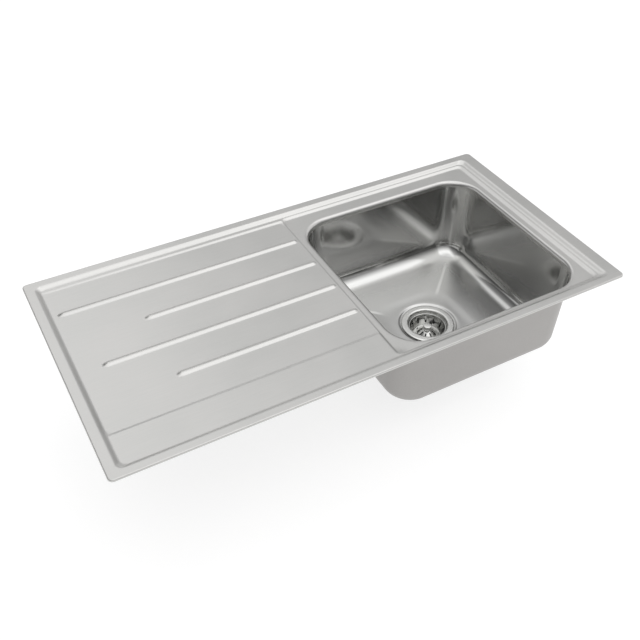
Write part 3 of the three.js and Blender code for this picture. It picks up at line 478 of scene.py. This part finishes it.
def build_deck():
    """The pressed sheet, from the foot of its lip to the collar that the bowl is welded to."""
    flat_edge = inset(RIM, LIP_BORDER)
    roll_start = inset(MOUTH, -ROLL_RADIUS - MOUTH_BORDER)
    past_x, past_y = RIB_MARGIN
    slopes_x = [*SLOPES_X, *((left - past_x, left + RIB_TIP + past_x) for left, _ in RIBS)]
    slopes_y = [*SLOPES_Y, *((centre - RIB_HALF - past_y, centre + RIB_HALF + past_y) for _, centre in RIBS)]
    xs = grid_lines(flat_edge["x0"], flat_edge["x1"], WIDE_CELL, FINE_CELL_X, slopes_x)
    ys = grid_lines(flat_edge["y0"], flat_edge["y1"], WIDE_CELL, FINE_CELL_Y, slopes_y)
    x, y, kept = trimmed_grid(xs, ys, flat_edge, roll_start)
    height = deck_height(x, y)
    grid = np.stack([x.ravel(), y.ravel(), height.ravel()], 1)
    columns = len(ys)
    cells = []
    for i, j in zip(*np.nonzero(kept)):
        corner = i * columns + j
        cells.append((corner, corner + columns, corner + columns + 1, corner + 1))
    used = sorted({v for cell in cells for v in cell})
    renumber = {old: new for new, old in enumerate(used)}
    cells = [tuple(renumber[v] for v in cell) for cell in cells]

    # The lip: out over the edge's roll and down to the seal.
    lip = [ring(inset(flat_edge, OVERLAP), RIM_TOP - TUCK, *LIP_RING), ring(flat_edge, RIM_TOP, *LIP_RING)]
    for step in range(LIP_STEPS + 1):
        angle = step / LIP_STEPS * math.pi / 2
        lip.append(ring(inset(RIM, EDGE_ROLL * (1 - math.sin(angle))),
                        RIM_TOP - EDGE_ROLL * (1 - math.cos(angle)), *LIP_RING))
    lip.append(ring(RIM, LIP_BOTTOM, *LIP_RING))
    lip_faces = [face[::-1] for face in loft_faces(len(lip), len(lip[0]))]

    # The rolled edge of the bowl's mouth and the collar under it.
    roll = [ring(inset(roll_start, -OVERLAP), SURROUND_FLOOR - TUCK, *MOUTH_RING),
            ring(roll_start, SURROUND_FLOOR, *MOUTH_RING)]
    for step in range(ROLL_STEPS + 1):
        angle = step / ROLL_STEPS * math.pi / 2
        roll.append(ring(inset(MOUTH, ROLL_RADIUS * (math.sin(angle) - 1)),
                         SURROUND_FLOOR - ROLL_RADIUS * (1 - math.cos(angle)), *MOUTH_RING))
    roll.append(ring(MOUTH, COLLAR_BOTTOM, *MOUTH_RING))
    roll_faces = loft_faces(len(roll), len(roll[0]))

    points, faces = joined((grid[used], cells), (np.concatenate(lip), lip_faces),
                           (np.concatenate(roll), roll_faces))
    deck = mesh_piece("deck_sheet", points, faces, [brushed_stainless, mill_stainless], "deck",
                      "pressed_steel")
    thicken(deck, other_side=1)


build_deck()


# ---------------------------------------------------------------- bowl

# The bowl is one set of rings from the collar, down the wall, over the floor and to the waste hole.
BOWL_RING = (32, 24)  # steps round a corner and along a side
WALL_STEPS = 12
FLOOR_STEPS = 24
SEAT_SHARES = (0.15, 0.3, 0.45, 0.6, 0.75, 0.9, 1.0)  # rings on the slope into the waste seat
FOLD_SOFTNESS = 0.05  # rounds the fold where two falls meet
FOLD_COLUMNS = 3  # half the width of a fold's ridge, in columns of the mesh
FALL_STARTS = 0.08  # share of the way from the floor's edge to the seat over which the fall begins,
RIDGE_STARTS = 0.2  # over which the ridge on each fold grows,
FLOOR_SETTLES = 0.3  # and over which the floor comes level again, just before the seat
# Between these rings the crests of the folds are rubbed rougher and painted paler, as a painted highlight.
RUB_AND_HIGHLIGHT_RINGS = (25, 44)  # the rubbed crest of each fold runs between these rings
RUB_AND_HIGHLIGHT_FADES = 4  # rings over which it fades at each end
PAD_RINGS = slice(27, 45)  # the sound-deadening pad lies under these


def floor_height(x, y, half_x, half_y):
    """The folded floor: four flat falls to the waste that meet along the diagonals."""
    u = np.abs(x - WASTE[0]) / half_x
    v = np.abs(y - WASTE[1]) / half_y
    most = (u + v + np.sqrt((u - v) ** 2 + FOLD_SOFTNESS ** 2)) / 2
    seat = (SEAT_RADIUS + SEAT_SLOPE) / half_x
    fall = np.clip((1 - most) / (1 - seat), 0, 1.25)
    return FLOOR_EDGE - FLOOR_FALL * fall


def from_fold(count):
    """For each of the mesh's columns, how many columns lie between it and the nearest fold of the floor."""
    corner, side = BOWL_RING
    period = corner + side
    return np.abs((np.arange(count) - corner / 2 + period / 2) % period - period / 2)


def bowl_skin():
    """Rings of the inner skin from the collar to the waste hole."""
    top = COLLAR_BOTTOM
    bend = FLOOR_EDGE + FLOOR_FILLET
    drafted = (top - bend) * math.tan(BOWL_DRAFT)
    rings = [ring(MOUTH, top, *BOWL_RING)]
    for step in range(1, WALL_STEPS):
        z = top + (bend - top) * step / WALL_STEPS
        rings.append(ring(inset(MOUTH, (top - z) * math.tan(BOWL_DRAFT)), z, *BOWL_RING))
    for step in range(WALL_STEPS + 1):
        angle = BOWL_DRAFT + (math.pi / 2 - BOWL_DRAFT) * step / WALL_STEPS
        rings.append(ring(inset(MOUTH, drafted + FLOOR_FILLET * (1 - math.cos(angle))),
                          bend - FLOOR_FILLET * math.sin(angle), *BOWL_RING))

    edge = rings[-1]
    count = len(edge)
    turn = 2 * math.pi / count
    angles = math.pi / 4 - BOWL_RING[0] / 2 * turn + turn * np.arange(count)
    circle = np.stack([WASTE[0] + (SEAT_RADIUS + SEAT_SLOPE) * np.cos(angles),
                       WASTE[1] + (SEAT_RADIUS + SEAT_SLOPE) * np.sin(angles)], 1)
    half_x = (edge[:, 0].max() - edge[:, 0].min()) / 2
    half_y = (edge[:, 1].max() - edge[:, 1].min()) / 2
    seat_edge = FLOOR_EDGE - FLOOR_FALL
    ridge = FLOOR_CREASE * ease(1 - from_fold(count) / FOLD_COLUMNS)
    for step in range(1, FLOOR_STEPS + 1):
        t = step / FLOOR_STEPS
        x = edge[:, 0] * (1 - t) + circle[:, 0] * t
        y = edge[:, 1] * (1 - t) + circle[:, 1] * t
        z = FLOOR_EDGE + (floor_height(x, y, half_x, half_y) - FLOOR_EDGE) * ease(t / FALL_STARTS)
        settle = ease((t - 1 + FLOOR_SETTLES) / FLOOR_SETTLES)
        z = z * (1 - settle) + seat_edge * settle + ridge * ease(t / RIDGE_STARTS) * (1 - settle)
        rings.append(np.stack([x, y, z], 1))
    slope = [(SEAT_RADIUS + SEAT_SLOPE * (1 - 2 * share), seat_edge - SEAT_DEPTH * float(ease(share)))
             for share in SEAT_SHARES]
    for radius, z in (*slope, (WASTE_HOLE, seat_edge - SEAT_DEPTH)):
        rings.append(np.stack([WASTE[0] + radius * np.cos(angles), WASTE[1] + radius * np.sin(angles),
                               np.full(count, z)], 1))
    return rings


def build_bowl():
    """The deep-drawn shell. An attribute of its mesh marks the rubbed crests of the folds, which the steel
    makes rougher and paints paler as a painted highlight.
    """
    rings = bowl_skin()
    count = len(rings[0])
    bowl = mesh_piece("bowl_shell", np.concatenate(rings), loft_faces(len(rings), count),
                      [drawn_stainless, mill_stainless], "bowl", "drawn_steel")
    across = ease(1.2 - from_fold(count) / FOLD_COLUMNS)
    number = np.arange(len(rings))
    along = ease((number - RUB_AND_HIGHLIGHT_RINGS[0]) / RUB_AND_HIGHLIGHT_FADES) * ease((RUB_AND_HIGHLIGHT_RINGS[1] - number) / RUB_AND_HIGHLIGHT_FADES)
    rub_and_highlight_layer = bowl.data.attributes.new("fold_rub_and_highlight", "FLOAT", "POINT")
    rub_and_highlight_layer.data.foreach_set("value", (along[:, None] * across[None, :]).ravel())
    thicken(bowl, other_side=1)


build_bowl()


# ---------------------------------------------------------------- basket waste

FLANGE = dict(radius=56.0, top=-189.9)
CUP = dict(mouth=41.0, floor=36.0, bottom=-231.9, lip=3.0, bend=6.0, bore=3.5, sheet=0.9)
BASKET = dict(bore=4.3, dome_top=-210.0, floor=-223.2, top=-198.0, rim=39.5, sheet=0.7)
# Each slot has its half width, and the distances along the pressing's profile between which it runs.
CUP_SLOTS = dict(slots=10, half=2.5, start=7.5, end=16.5)
DOME_SLOTS = dict(slots=8, half=1.5, start=5.9, end=20.0)
WALL_SLOTS = dict(slots=12, half=1.9, start=9.4, end=24.0)
PROFILE_STOPS = 44  # rings of a slotted pressing
BRIDGE_STEPS = 5  # columns between one slot and the next
SLOT_END_STEPS = 4  # rings that round the end of a slot
NARROWEST = 0.1  # where a slot's round end closes, it keeps this share of its width
PIPE_THREAD = dict(radius=23.9, pitch=2.31, depth=1.1, sides=96, rows=6)  # one and a half inch pipe thread
SCREW_THREAD = dict(radius=3.0, pitch=1.0, depth=0.45, rows=4)
POT_GRIPS = 12  # ribs round the pot, by which it is held while the screw is driven
POT_ARMS = 3  # arms of the spider that carries the screw's insert
POT_WALL = 48.8  # just inside the wall's outside
THREAD_TIP = 0.3  # share of its depth that a thread keeps at its tip


def rounded(profile, rounds=3):
    """Cuts the corners of a profile again and again, a quarter of the way along each side."""
    for _ in range(rounds):
        cut = [profile[0]]
        for (r0, z0), (r1, z1) in zip(profile, profile[1:]):
            cut.append((r0 * 0.75 + r1 * 0.25, z0 * 0.75 + z1 * 0.25))
            cut.append((r0 * 0.25 + r1 * 0.75, z0 * 0.25 + z1 * 0.75))
        profile = cut + [profile[-1]]
    return profile


def slotted(profile, slots, half, start, end):
    """A lathe round the waste cut by round-ended slots, from one distance along its profile to another."""
    profile = np.array(profile, float)
    lengths = np.concatenate([[0], np.cumsum(np.hypot(*np.diff(profile, axis=0).T))])
    rounding = half * (1 - np.cos(np.linspace(0, math.pi / 2, SLOT_END_STEPS + 1)))
    stops = np.concatenate([np.linspace(0, lengths[-1], PROFILE_STOPS), start + rounding, end - rounding])
    stops = np.unique(np.round(stops, 3))
    near = np.clip(np.minimum(stops - start, end - stops), 0, half)
    opening = np.maximum(np.sqrt(half ** 2 - (half - near) ** 2), NARROWEST * half)
    pitch = 2 * math.pi / slots
    points = []
    radii, heights = (np.interp(stops, lengths, profile[:, axis]) for axis in (0, 1))
    for radius, z, width in zip(radii, heights, opening):
        edge = math.asin(min(width / radius, 1.0))
        bridge = [edge + (pitch - 2 * edge) * (i + 1) / (BRIDGE_STEPS + 1) for i in range(BRIDGE_STEPS)]
        for slot in range(slots):
            points.extend((WASTE[0] + radius * math.cos(a + slot * pitch),
                           WASTE[1] + radius * math.sin(a + slot * pitch), z) for a in (-edge, edge, *bridge))
    columns = BRIDGE_STEPS + 2
    count = slots * columns
    faces = []
    for band, (low, high) in enumerate(zip(stops, stops[1:])):
        cut = low >= start - 0.01 and high <= end + 0.01
        for i in range(count):
            if cut and i % columns == 0:
                continue
            j = (i + 1) % count
            faces.append((band * count + i, (band + 1) * count + i, (band + 1) * count + j, band * count + j))
    return points, faces


def solid_lathe(name, profile, material, node, slot, body="sink", sides=96, rounds=1):
    """A turned or moulded ring or disc round the waste, from a profile that runs once round its section."""
    points, faces = turned(rounded(profile, rounds), sides)
    mesh_piece(name, points, faces, [material], node, slot, body, closed=True)


def build_strainer():
    """The flange, the cup's rolled lip, its wall and its slotted floor, in one pressing."""
    lip, bend, edge, top = CUP["lip"], CUP["bend"], FLANGE["radius"], FLANGE["top"]
    profile = [(CUP["bore"], CUP["bottom"]), (CUP["bore"] + 1, CUP["bottom"])]
    profile += arc(CUP["floor"] - bend, CUP["bottom"] + bend, bend, -90, 0)
    profile += arc(CUP["mouth"] + lip, top - lip, lip, 180, 90)
    profile += [(edge - 1.4, top - 0.05), (edge - 0.4, top - 0.35), (edge, top - 0.9), (edge, top - 1.4)]
    cup = mesh_piece("strainer_cup_pressing", *slotted(profile, **CUP_SLOTS), [polished_stainless],
                     "strainer_cup", "polished_steel")
    thicken(cup, CUP["sheet"])


def build_basket():
    """A domed and slotted middle, and a flared and slotted wall with a rolled rim."""
    floor, top, rim, bore = BASKET["floor"], BASKET["top"], BASKET["rim"], BASKET["bore"]
    dome = rounded([(bore, BASKET["dome_top"]), (8.0, BASKET["dome_top"]), (19.0, floor + 5.5),
                    (22.6, floor), (26.0, floor)])
    wall = rounded([(26.0, floor), (30.6, floor), (36.6, top - 1.6), (37.2, top), (rim - 0.3, top),
                    (rim, top - 0.4)])
    basket = mesh_piece("basket_pressing", *joined(slotted(dome, **DOME_SLOTS), slotted(wall, **WALL_SLOTS)),
                        [basket_stainless], "basket", "polished_steel", body="basket")
    thicken(basket, BASKET["sheet"])


def build_basket_fittings():
    solid_lathe("basket_knob_turned", [
        (0, -228.2), (4, -228.2), (4, -210.6), (4, -209.7), (7, -209.7), (7, -208.6), (5, -206.6),
        (5, -205.2), (9, -203.6), (9, -198.4), (8.4, -196.9), (0, -196.7),
    ], polished_stainless, "basket_knob", "polished_steel", body="basket")
    solid_lathe("basket_stopper_moulded", [
        (4.3, -228.2), (20.5, -228.2), (21.5, -227.4), (23.6, -227.6), (24.0, -226.4), (21.0, -224.9),
        (19.6, -224.4), (4.3, -224.4), (4.3, -228.2),
    ], moulded_rubber, "basket_seal", "black_rubber", body="basket")


def build_gaskets():
    """Two washers, each with a groove that keeps its two sealing edges apart."""
    solid_lathe("flange_gasket_moulded", [
        (46, -192.6), (55, -192.6), (55, -191.3), (52, -191.3), (51, -191.6), (50, -191.3), (46, -191.3),
        (46, -192.6),
    ], moulded_rubber, "flange_gasket", "black_rubber")
    solid_lathe("pot_gasket_moulded", [
        (46, -197.2), (57, -197.2), (57, -194.4), (54, -194.4), (53, -195.0), (50, -195.0), (49, -194.4),
        (46, -194.4), (46, -197.2),
    ], moulded_rubber, "pot_gasket", "black_rubber")


def threaded(top, bottom, radius, pitch, depth, rows, sides, centre=WASTE):
    """The outside of a screw thread, as rings whose radius follows the helix and fades at both ends."""
    steps = int(round((top - bottom) / pitch * rows))
    points = []
    for step in range(steps + 1):
        z = top + (bottom - top) * step / steps
        fade = min(1.0, (top - z) / pitch, (z - bottom) / pitch + THREAD_TIP)
        for i in range(sides):
            wave = 0.5 - 0.5 * math.cos(2 * math.pi * (z / pitch - i / sides))
            reach = radius - depth * wave * fade
            angle = 2 * math.pi * i / sides
            points.append((centre[0] + reach * math.cos(angle), centre[1] + reach * math.sin(angle), z))
    return points, loft_faces(steps + 1, sides)


def block(x0, x1, y0, y1, z0, z1, turn):
    """A straight block, turned about the waste's axis."""
    points = []
    for x, y, z in [(x, y, z) for z in (z0, z1) for x, y in ((x0, y0), (x1, y0), (x1, y1), (x0, y1))]:
        points.append((WASTE[0] + x * math.cos(turn) - y * math.sin(turn),
                       WASTE[1] + x * math.sin(turn) + y * math.cos(turn), z))
    return points, [(3, 2, 1, 0), (4, 5, 6, 7), (0, 1, 5, 4), (1, 2, 6, 5), (2, 3, 7, 6), (3, 0, 4, 7)]


def build_pot():
    """The waste's plastic pot: its flange, wall and threaded outlet, grip ribs, and spider with an insert."""
    shell = rounded([(46, -198.2), (46.6, -197.6), (57.4, -197.6), (58, -198.2), (58, -201.0), (57.4, -201.6),
                     (50.2, -201.6), (49, -203.0), (49, -247.2), (47.5, -249.0), (26.0, -262.6),
                     (23.9, -264.2), (23.9, -265.0)], 2)
    inside = rounded([(22.6, -288.9), (20.4, -288.9), (20, -288.2), (20, -261.4), (21.0, -260.2),
                      (45.0, -245.6), (46, -244.2), (46, -198.2)], 2)
    tip = [(23.6, -288.2), (22.6, -288.9)]
    parts = [turned(shell), turned(inside), threaded(-265.0, -288.2, **PIPE_THREAD), turned(tip)]
    for i in range(POT_GRIPS):
        grip, faces = block(48.5, 57.0, -1.25, 1.25, -213.0, -201.3, 2 * math.pi * i / POT_GRIPS)
        for corner in (1, 2):  # the lower outer corners are drawn in to the wall, so the rib tapers
            x, y, z = grip[corner]
            pull = POT_WALL / math.hypot(x - WASTE[0], y - WASTE[1])
            grip[corner] = (WASTE[0] + (x - WASTE[0]) * pull, WASTE[1] + (y - WASTE[1]) * pull, z)
        parts.append((grip, faces))
    for i in range(POT_ARMS):
        parts.append(block(7.5, 20.6, -2.0, 2.0, -272.6, -261.2, 2 * math.pi * i / POT_ARMS))
    boss = [(5.3, -261.0), (7.6, -261.0), (8.0, -261.4), (8.0, -272.4), (7.6, -272.8), (5.3, -272.8),
            (5.3, -261.0)]
    parts.append(turned(boss, 48))
    mesh_piece("waste_pot_moulding", *joined(*parts), [white_polypropylene], "waste_pot", "white_plastic",
               closed=True)
    solid_lathe("pot_insert_turned", [
        (3.3, -272.8), (4.6, -272.8), (5.0, -272.4), (5.0, -261.4), (4.6, -261.0), (3.6, -261.0),
        (3.3, -261.3), (3.3, -272.8),
    ], turned_brass, "pot_insert", "brass", sides=48, rounds=0)


def build_clamp_screw():
    head = rounded([(0, -228.7), (5.2, -228.8), (7.6, -230.2), (8.0, -231.5), (3.0, -231.5),
                    (3.0, -232.0)], 1)
    shank = threaded(-232.0, -274.7, sides=32, **SCREW_THREAD)
    tip = [(2.7, -274.7), (2.2, -274.9), (0, -274.9)]
    mesh_piece("clamp_screw_turned", *joined(turned(head, 48), shank, turned(tip, 32)), [polished_stainless],
               "clamp_screw", "polished_steel", closed=True)


build_strainer()
build_basket()
build_basket_fittings()
build_gaskets()
build_pot()
build_clamp_screw()


# ---------------------------------------------------------------- seal, pads and earth tag

TRAY_PAD = dict(x0=-401.5, x1=-57.0, y0=-103.0, y1=158.0, r=8.0)
PAD_RING = (8, 24)  # steps round a corner and along a side
CAD_SAME_POINT = 0.001
CAD_FLAT = math.radians(2)  # CAD faces that meet at less than this are one flat face
CAD_CORNER = math.radians(28)  # and edges sharper than this are broken


def build_rim_seal():
    """A strip of foam with a rounded underside, which the worktop squeezes."""
    section = rounded([(2.0, 1.4), (2.2, 0.3), (4.0, 0.02), (8.0, 0.02), (9.8, 0.3), (10.0, 1.4),
                       (10.0, 2.9), (9.7, 3.18), (2.3, 3.18), (2.0, 2.9), (2.0, 1.4)], 1)[:-1]
    rings = [ring(inset(RIM, depth), z, *PAD_RING) for depth, z in section]
    mesh_piece("rim_seal_strip", np.concatenate(rings), loft_faces(len(rings), len(rings[0]), closed=True),
               [foam_strip], "rim_seal", "seal_foam", closed=True)


def build_drainer_pad():
    """A sheet stuck under the tray, with soft cut edges. It follows the tray's fall."""
    rings = []
    for depth, drop in ((0.4, 1.3), (0.0, 1.5), (0.0, 2.7), (0.35, 3.15), (1.2, 3.3), (14.0, 3.3)):
        points = ring(inset(TRAY_PAD, depth), 0.0, *PAD_RING)
        points[:, 2] = tray_floor(points[:, 0]) - drop
        rings.append(points)
    count = len(rings[0])
    faces = loft_faces(len(rings), count)
    faces += [tuple(range(count)), tuple(range((len(rings) - 1) * count, len(rings) * count))]
    mesh_piece("drainer_pad_sheet", np.concatenate(rings), faces, [deadening_sheet], "drainer_pad",
               "deadening_pad", closed=True)


def build_bowl_pad():
    """A sheet pressed against the underside of the bowl's floor, round the waste."""
    under = bowl_skin()[PAD_RINGS]
    soft = [(0, 1.3), (0, 3.0)] + [(i, 3.3) for i in range(1, len(under) - 1)] + [(-1, 3.0), (-1, 1.3)]
    rings = [under[place] - (0.0, 0.0, drop) for place, drop in soft]
    mesh_piece("bowl_pad_sheet", np.concatenate(rings), loft_faces(len(rings), len(rings[0]), closed=True),
               [deadening_sheet], "bowl_pad", "deadening_pad", closed=True)


def softened(node, body, material, width):
    """The CAD piece as it leaves the press: the same form with its edges broken."""
    shape = frame["nodes"][node].data.copy()
    shape.name = node + "_finished"
    shell = bmesh.new()
    shell.from_mesh(shape)
    bmesh.ops.remove_doubles(shell, verts=shell.verts, dist=CAD_SAME_POINT * MM)
    bmesh.ops.dissolve_limit(shell, angle_limit=CAD_FLAT, verts=shell.verts, edges=shell.edges)
    shell.to_mesh(shape)
    shell.free()
    shape.materials.clear()
    shape.materials.append(material)
    shape.shade_smooth()
    piece = bpy.data.objects.new(node + "_finished", shape)
    fitted(piece, body, node)
    modifier(piece, "BEVEL", width=width * MM, segments=2, limit_method="ANGLE", angle_limit=CAD_CORNER,
             harden_normals=True)


build_rim_seal()
build_drainer_pad()
build_bowl_pad()
softened("earth_tag", "sink", brushed_stainless, 0.2)


# ---------------------------------------------------------------- clips

CLIPS = 8


def build_clip(number):
    """A pressed bracket, arm and nut, and a bolt with a rolled thread, whose head sits in the bracket."""
    softened(f"clip_bracket_{number}", "sink", zinc_plate, 0.4)
    softened(f"clip_arm_{number}", f"clip_arm_{number}", zinc_plate, 0.4)
    softened(f"clip_nut_{number}", f"clip_nut_{number}", zinc_plate, 0.35)
    low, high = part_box(f"clip_bolt_{number}")
    centre = ((low.x + high.x) / 2 / MM, (low.y + high.y) / 2 / MM)
    top, tip = high.z / MM, low.z / MM
    head = [(0, top), (4.4, top), (5.3, top - 0.7), (5.4, top - 3.9), (3.0, top - 4.0), (3.0, top - 4.4)]
    shank = threaded(top - 4.4, tip + 0.8, sides=24, centre=centre, **SCREW_THREAD)
    end = [(2.7, tip + 0.8), (2.1, tip), (0, tip)]
    points, faces = joined(turned(head, 24, centre), shank, turned(end, 24, centre))
    mesh_piece(f"clip_bolt_{number}_rolled", points, faces, [zinc_plate], f"clip_bolt_{number}", "zinc_plate",
               closed=True)


for clip_number in range(1, CLIPS + 1):
    build_clip(clip_number)


# ---------------------------------------------------------------- finishes on the CAD pieces

FINISHES = {
    "pressed_steel": brushed_stainless,
    "drawn_steel": drawn_stainless,
    "polished_steel": polished_stainless,
    "seal_foam": foam_strip,
    "deadening_pad": deadening_sheet,
    "black_rubber": moulded_rubber,
    "white_plastic": white_polypropylene,
    "brass": turned_brass,
    "zinc_plate": zinc_plate,
}
for part in frame["record"]["subparts"]:
    node = frame["nodes"][part["node"]]
    node.data.materials.clear()
    node.data.materials.append(FINISHES[part["material_slot"]])


# ---------------------------------------------------------------- studio

FLOOR_GAP = 1.0  # the paper lies this far under the outlet
FLOOR_HALF = 60.0  # metres, so that its edge lies beyond every view
PAPER_GLOW = dict(share=0.6, strength=1.3)

# What the steel mirrors. Each light is a product of patches, and where lights overlap the brighter counts.
# A patch is a direction and the greys at given cosines of the angle from it: 1 lies straight along it,
# 0 square to it and -1 straight behind.
UP = (0.0, 0.0, 1.0)
BACK_AND_DOWN = (-0.12, 0.78, -0.62)  # square to the gap between the wall and the ceiling
STUDIO_LIGHTS = (
    # A wide soft ceiling, brightest about 30 degrees off the top, dimmer by the gap and on the left.
    ((UP, ((0.0, 0.14), (0.45, 0.22), (0.68, 0.55), (0.86, 0.92), (0.95, 0.86), (1.0, 0.60))),
     (BACK_AND_DOWN, ((-0.30, 1.0), (-0.20, 0.66), (0.0, 0.66))),
     ((0.93, -0.36, 0.0), ((-0.75, 0.25), (-0.50, 0.35), (-0.28, 1.0)))),
    # A pale wall behind the sink, dimmer half way up and on the left, that ends at the gap.
    (((-0.35, 0.85, 0.40), ((0.34, 0.18), (0.41, 0.34), (0.51, 0.52), (0.60, 0.50), (0.74, 0.54),
                            (0.83, 0.60), (0.90, 0.50))),
     (UP, ((0.10, 1.0), (0.35, 0.58), (0.60, 0.64), (0.74, 1.0))),
     (BACK_AND_DOWN, ((-0.10, 0.0), (-0.05, 1.0))),
     ((1.0, -0.15, 0.0), ((-0.70, 0.25), (-0.32, 0.38), (-0.08, 1.0)))),
    # A soft box on the right, for the bowl's left wall.
    (((0.90, -0.10, 0.42), ((0.70, 0.0), (0.86, 0.52))),),
    # A low soft box on the left, for what faces left.
    (((-0.85, 0.40, -0.30), ((0.60, 0.0), (0.75, 0.50))),),
    # A small lamp high behind, for the rear left end of the drainer.
    (((0.04, 0.76, 0.65), ((0.970, 0.0), (0.988, 0.74))),),
)
STUDIO_STRENGTH = 1.75

# The camera stands where the rim's corners fall on those of the photograph.
CAMERA_PLACE = (-0.5916, -1.0402, 0.9795)  # metres
CAMERA_ANGLES = (-30.693, 41.886, -1.523)  # round the sink from its front, above it, and about its own axis
CAMERA_LENS = 46.896
CAMERA_SHIFT = -0.03125


def build_floor():
    """White paper. A share of it glows where it is seen or mirrored, and the rest keeps the sink's shadow.

    From below it is clear, so that the sink's underside can be looked at.
    """
    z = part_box("waste_pot")[0].z - FLOOR_GAP * MM
    corners = [(x * FLOOR_HALF, y * FLOOR_HALF, z) for x, y in ((-1, -1), (1, -1), (1, 1), (-1, 1))]
    mesh = bpy.data.meshes.new("floor")
    mesh.from_pydata(corners, [], [(0, 1, 2, 3)])
    floor = bpy.data.objects.new("floor", mesh)
    bpy.context.scene.collection.objects.link(floor)
    paper = new_material("white_paper_floor")
    path = add(paper, "ShaderNodeLightPath")
    seen = add(paper, "ShaderNodeMath", links={0: (path, "Is Camera Ray"), 1: (path, "Is Glossy Ray")},
               operation="MAXIMUM")
    shown = add(paper, "ShaderNodeMath", links={0: (seen, 0), 1: (path, "Is Transmission Ray")},
                operation="MAXIMUM")
    share = add(paper, "ShaderNodeMath", {1: PAPER_GLOW["share"]}, {0: (shown, 0)}, operation="MULTIPLY")
    diffuse = add(paper, "ShaderNodeBsdfDiffuse", {"Color": colour("#f2f2f2")})
    glow = add(paper, "ShaderNodeEmission", {"Color": grey(1.0), "Strength": PAPER_GLOW["strength"]})
    both = add(paper, "ShaderNodeMixShader", links={0: (share, 0), 1: (diffuse, 0), 2: (glow, 0)})
    side = add(paper, "ShaderNodeNewGeometry")
    clear = add(paper, "ShaderNodeBsdfTransparent")
    sided = add(paper, "ShaderNodeMixShader", links={0: (side, "Backfacing"), 1: (both, 0), 2: (clear, 0)})
    add(paper, "ShaderNodeOutputMaterial", links={"Surface": (sided, 0)})
    mesh.materials.append(paper)


def build_world():
    """The studio's lights, which only the sink and the floor see; the camera sees plain white."""
    world = bpy.data.worlds.new("studio")
    world.use_nodes = True
    world.node_tree.nodes.clear()
    bpy.context.scene.world = world
    place = add(world, "ShaderNodeTexCoord")
    studio = None
    for patches in STUDIO_LIGHTS:
        light = None
        for direction, greys in patches:
            toward = add(world, "ShaderNodeVectorMath", {1: direction}, {0: (place, "Generated")},
                         operation="DOT_PRODUCT")
            spread = add(world, "ShaderNodeMapRange", {"From Min": -1.0, "From Max": 1.0},
                         {"Value": (toward, "Value")})
            patch = add(world, "ShaderNodeValToRGB", links={"Fac": (spread, 0)},
                        stops=[((where + 1) / 2, grey(value)) for where, value in greys])
            light = patch if light is None else add(
                world, "ShaderNodeMath", links={0: (light, 0), 1: (patch, 0)}, operation="MULTIPLY")
        studio = light if studio is None else add(
            world, "ShaderNodeMath", links={0: (studio, 0), 1: (light, 0)}, operation="MAXIMUM")
    strength = add(world, "ShaderNodeMath", {1: STUDIO_STRENGTH}, {0: (studio, 0)}, operation="MULTIPLY")
    lit = add(world, "ShaderNodeBackground", {"Color": grey(1.0)}, {"Strength": (strength, 0)})
    white = add(world, "ShaderNodeBackground", {"Color": grey(1.0), "Strength": 1.0})
    path = add(world, "ShaderNodeLightPath")
    shown = add(world, "ShaderNodeMixShader", links={0: (path, "Is Camera Ray"), 1: (lit, 0), 2: (white, 0)})
    add(world, "ShaderNodeOutputWorld", links={"Surface": (shown, 0)})


def build_camera():
    azimuth, elevation, roll = (math.radians(a) for a in CAMERA_ANGLES)
    away = Vector((math.sin(azimuth) * math.cos(elevation), -math.cos(azimuth) * math.cos(elevation),
                   math.sin(elevation)))
    right = (-away).cross(Vector((0, 0, 1))).normalized()
    down = (-away).cross(right)
    across = right * math.cos(roll) + down * math.sin(roll)
    upright = right * math.sin(roll) - down * math.cos(roll)
    data = bpy.data.cameras.new("camera")
    data.lens = CAMERA_LENS
    data.sensor_width = 36.0
    data.shift_x = CAMERA_SHIFT
    data.clip_start = 0.01
    data.clip_end = 200.0
    camera = bpy.data.objects.new("camera", data)
    bpy.context.scene.collection.objects.link(camera)
    turn = Matrix((across, upright, away)).transposed()
    camera.matrix_world = Matrix.Translation(CAMERA_PLACE) @ turn.to_4x4()
    bpy.context.scene.camera = camera


build_floor()
build_world()
build_camera()
bpy.context.scene.view_settings.view_transform = "Standard"
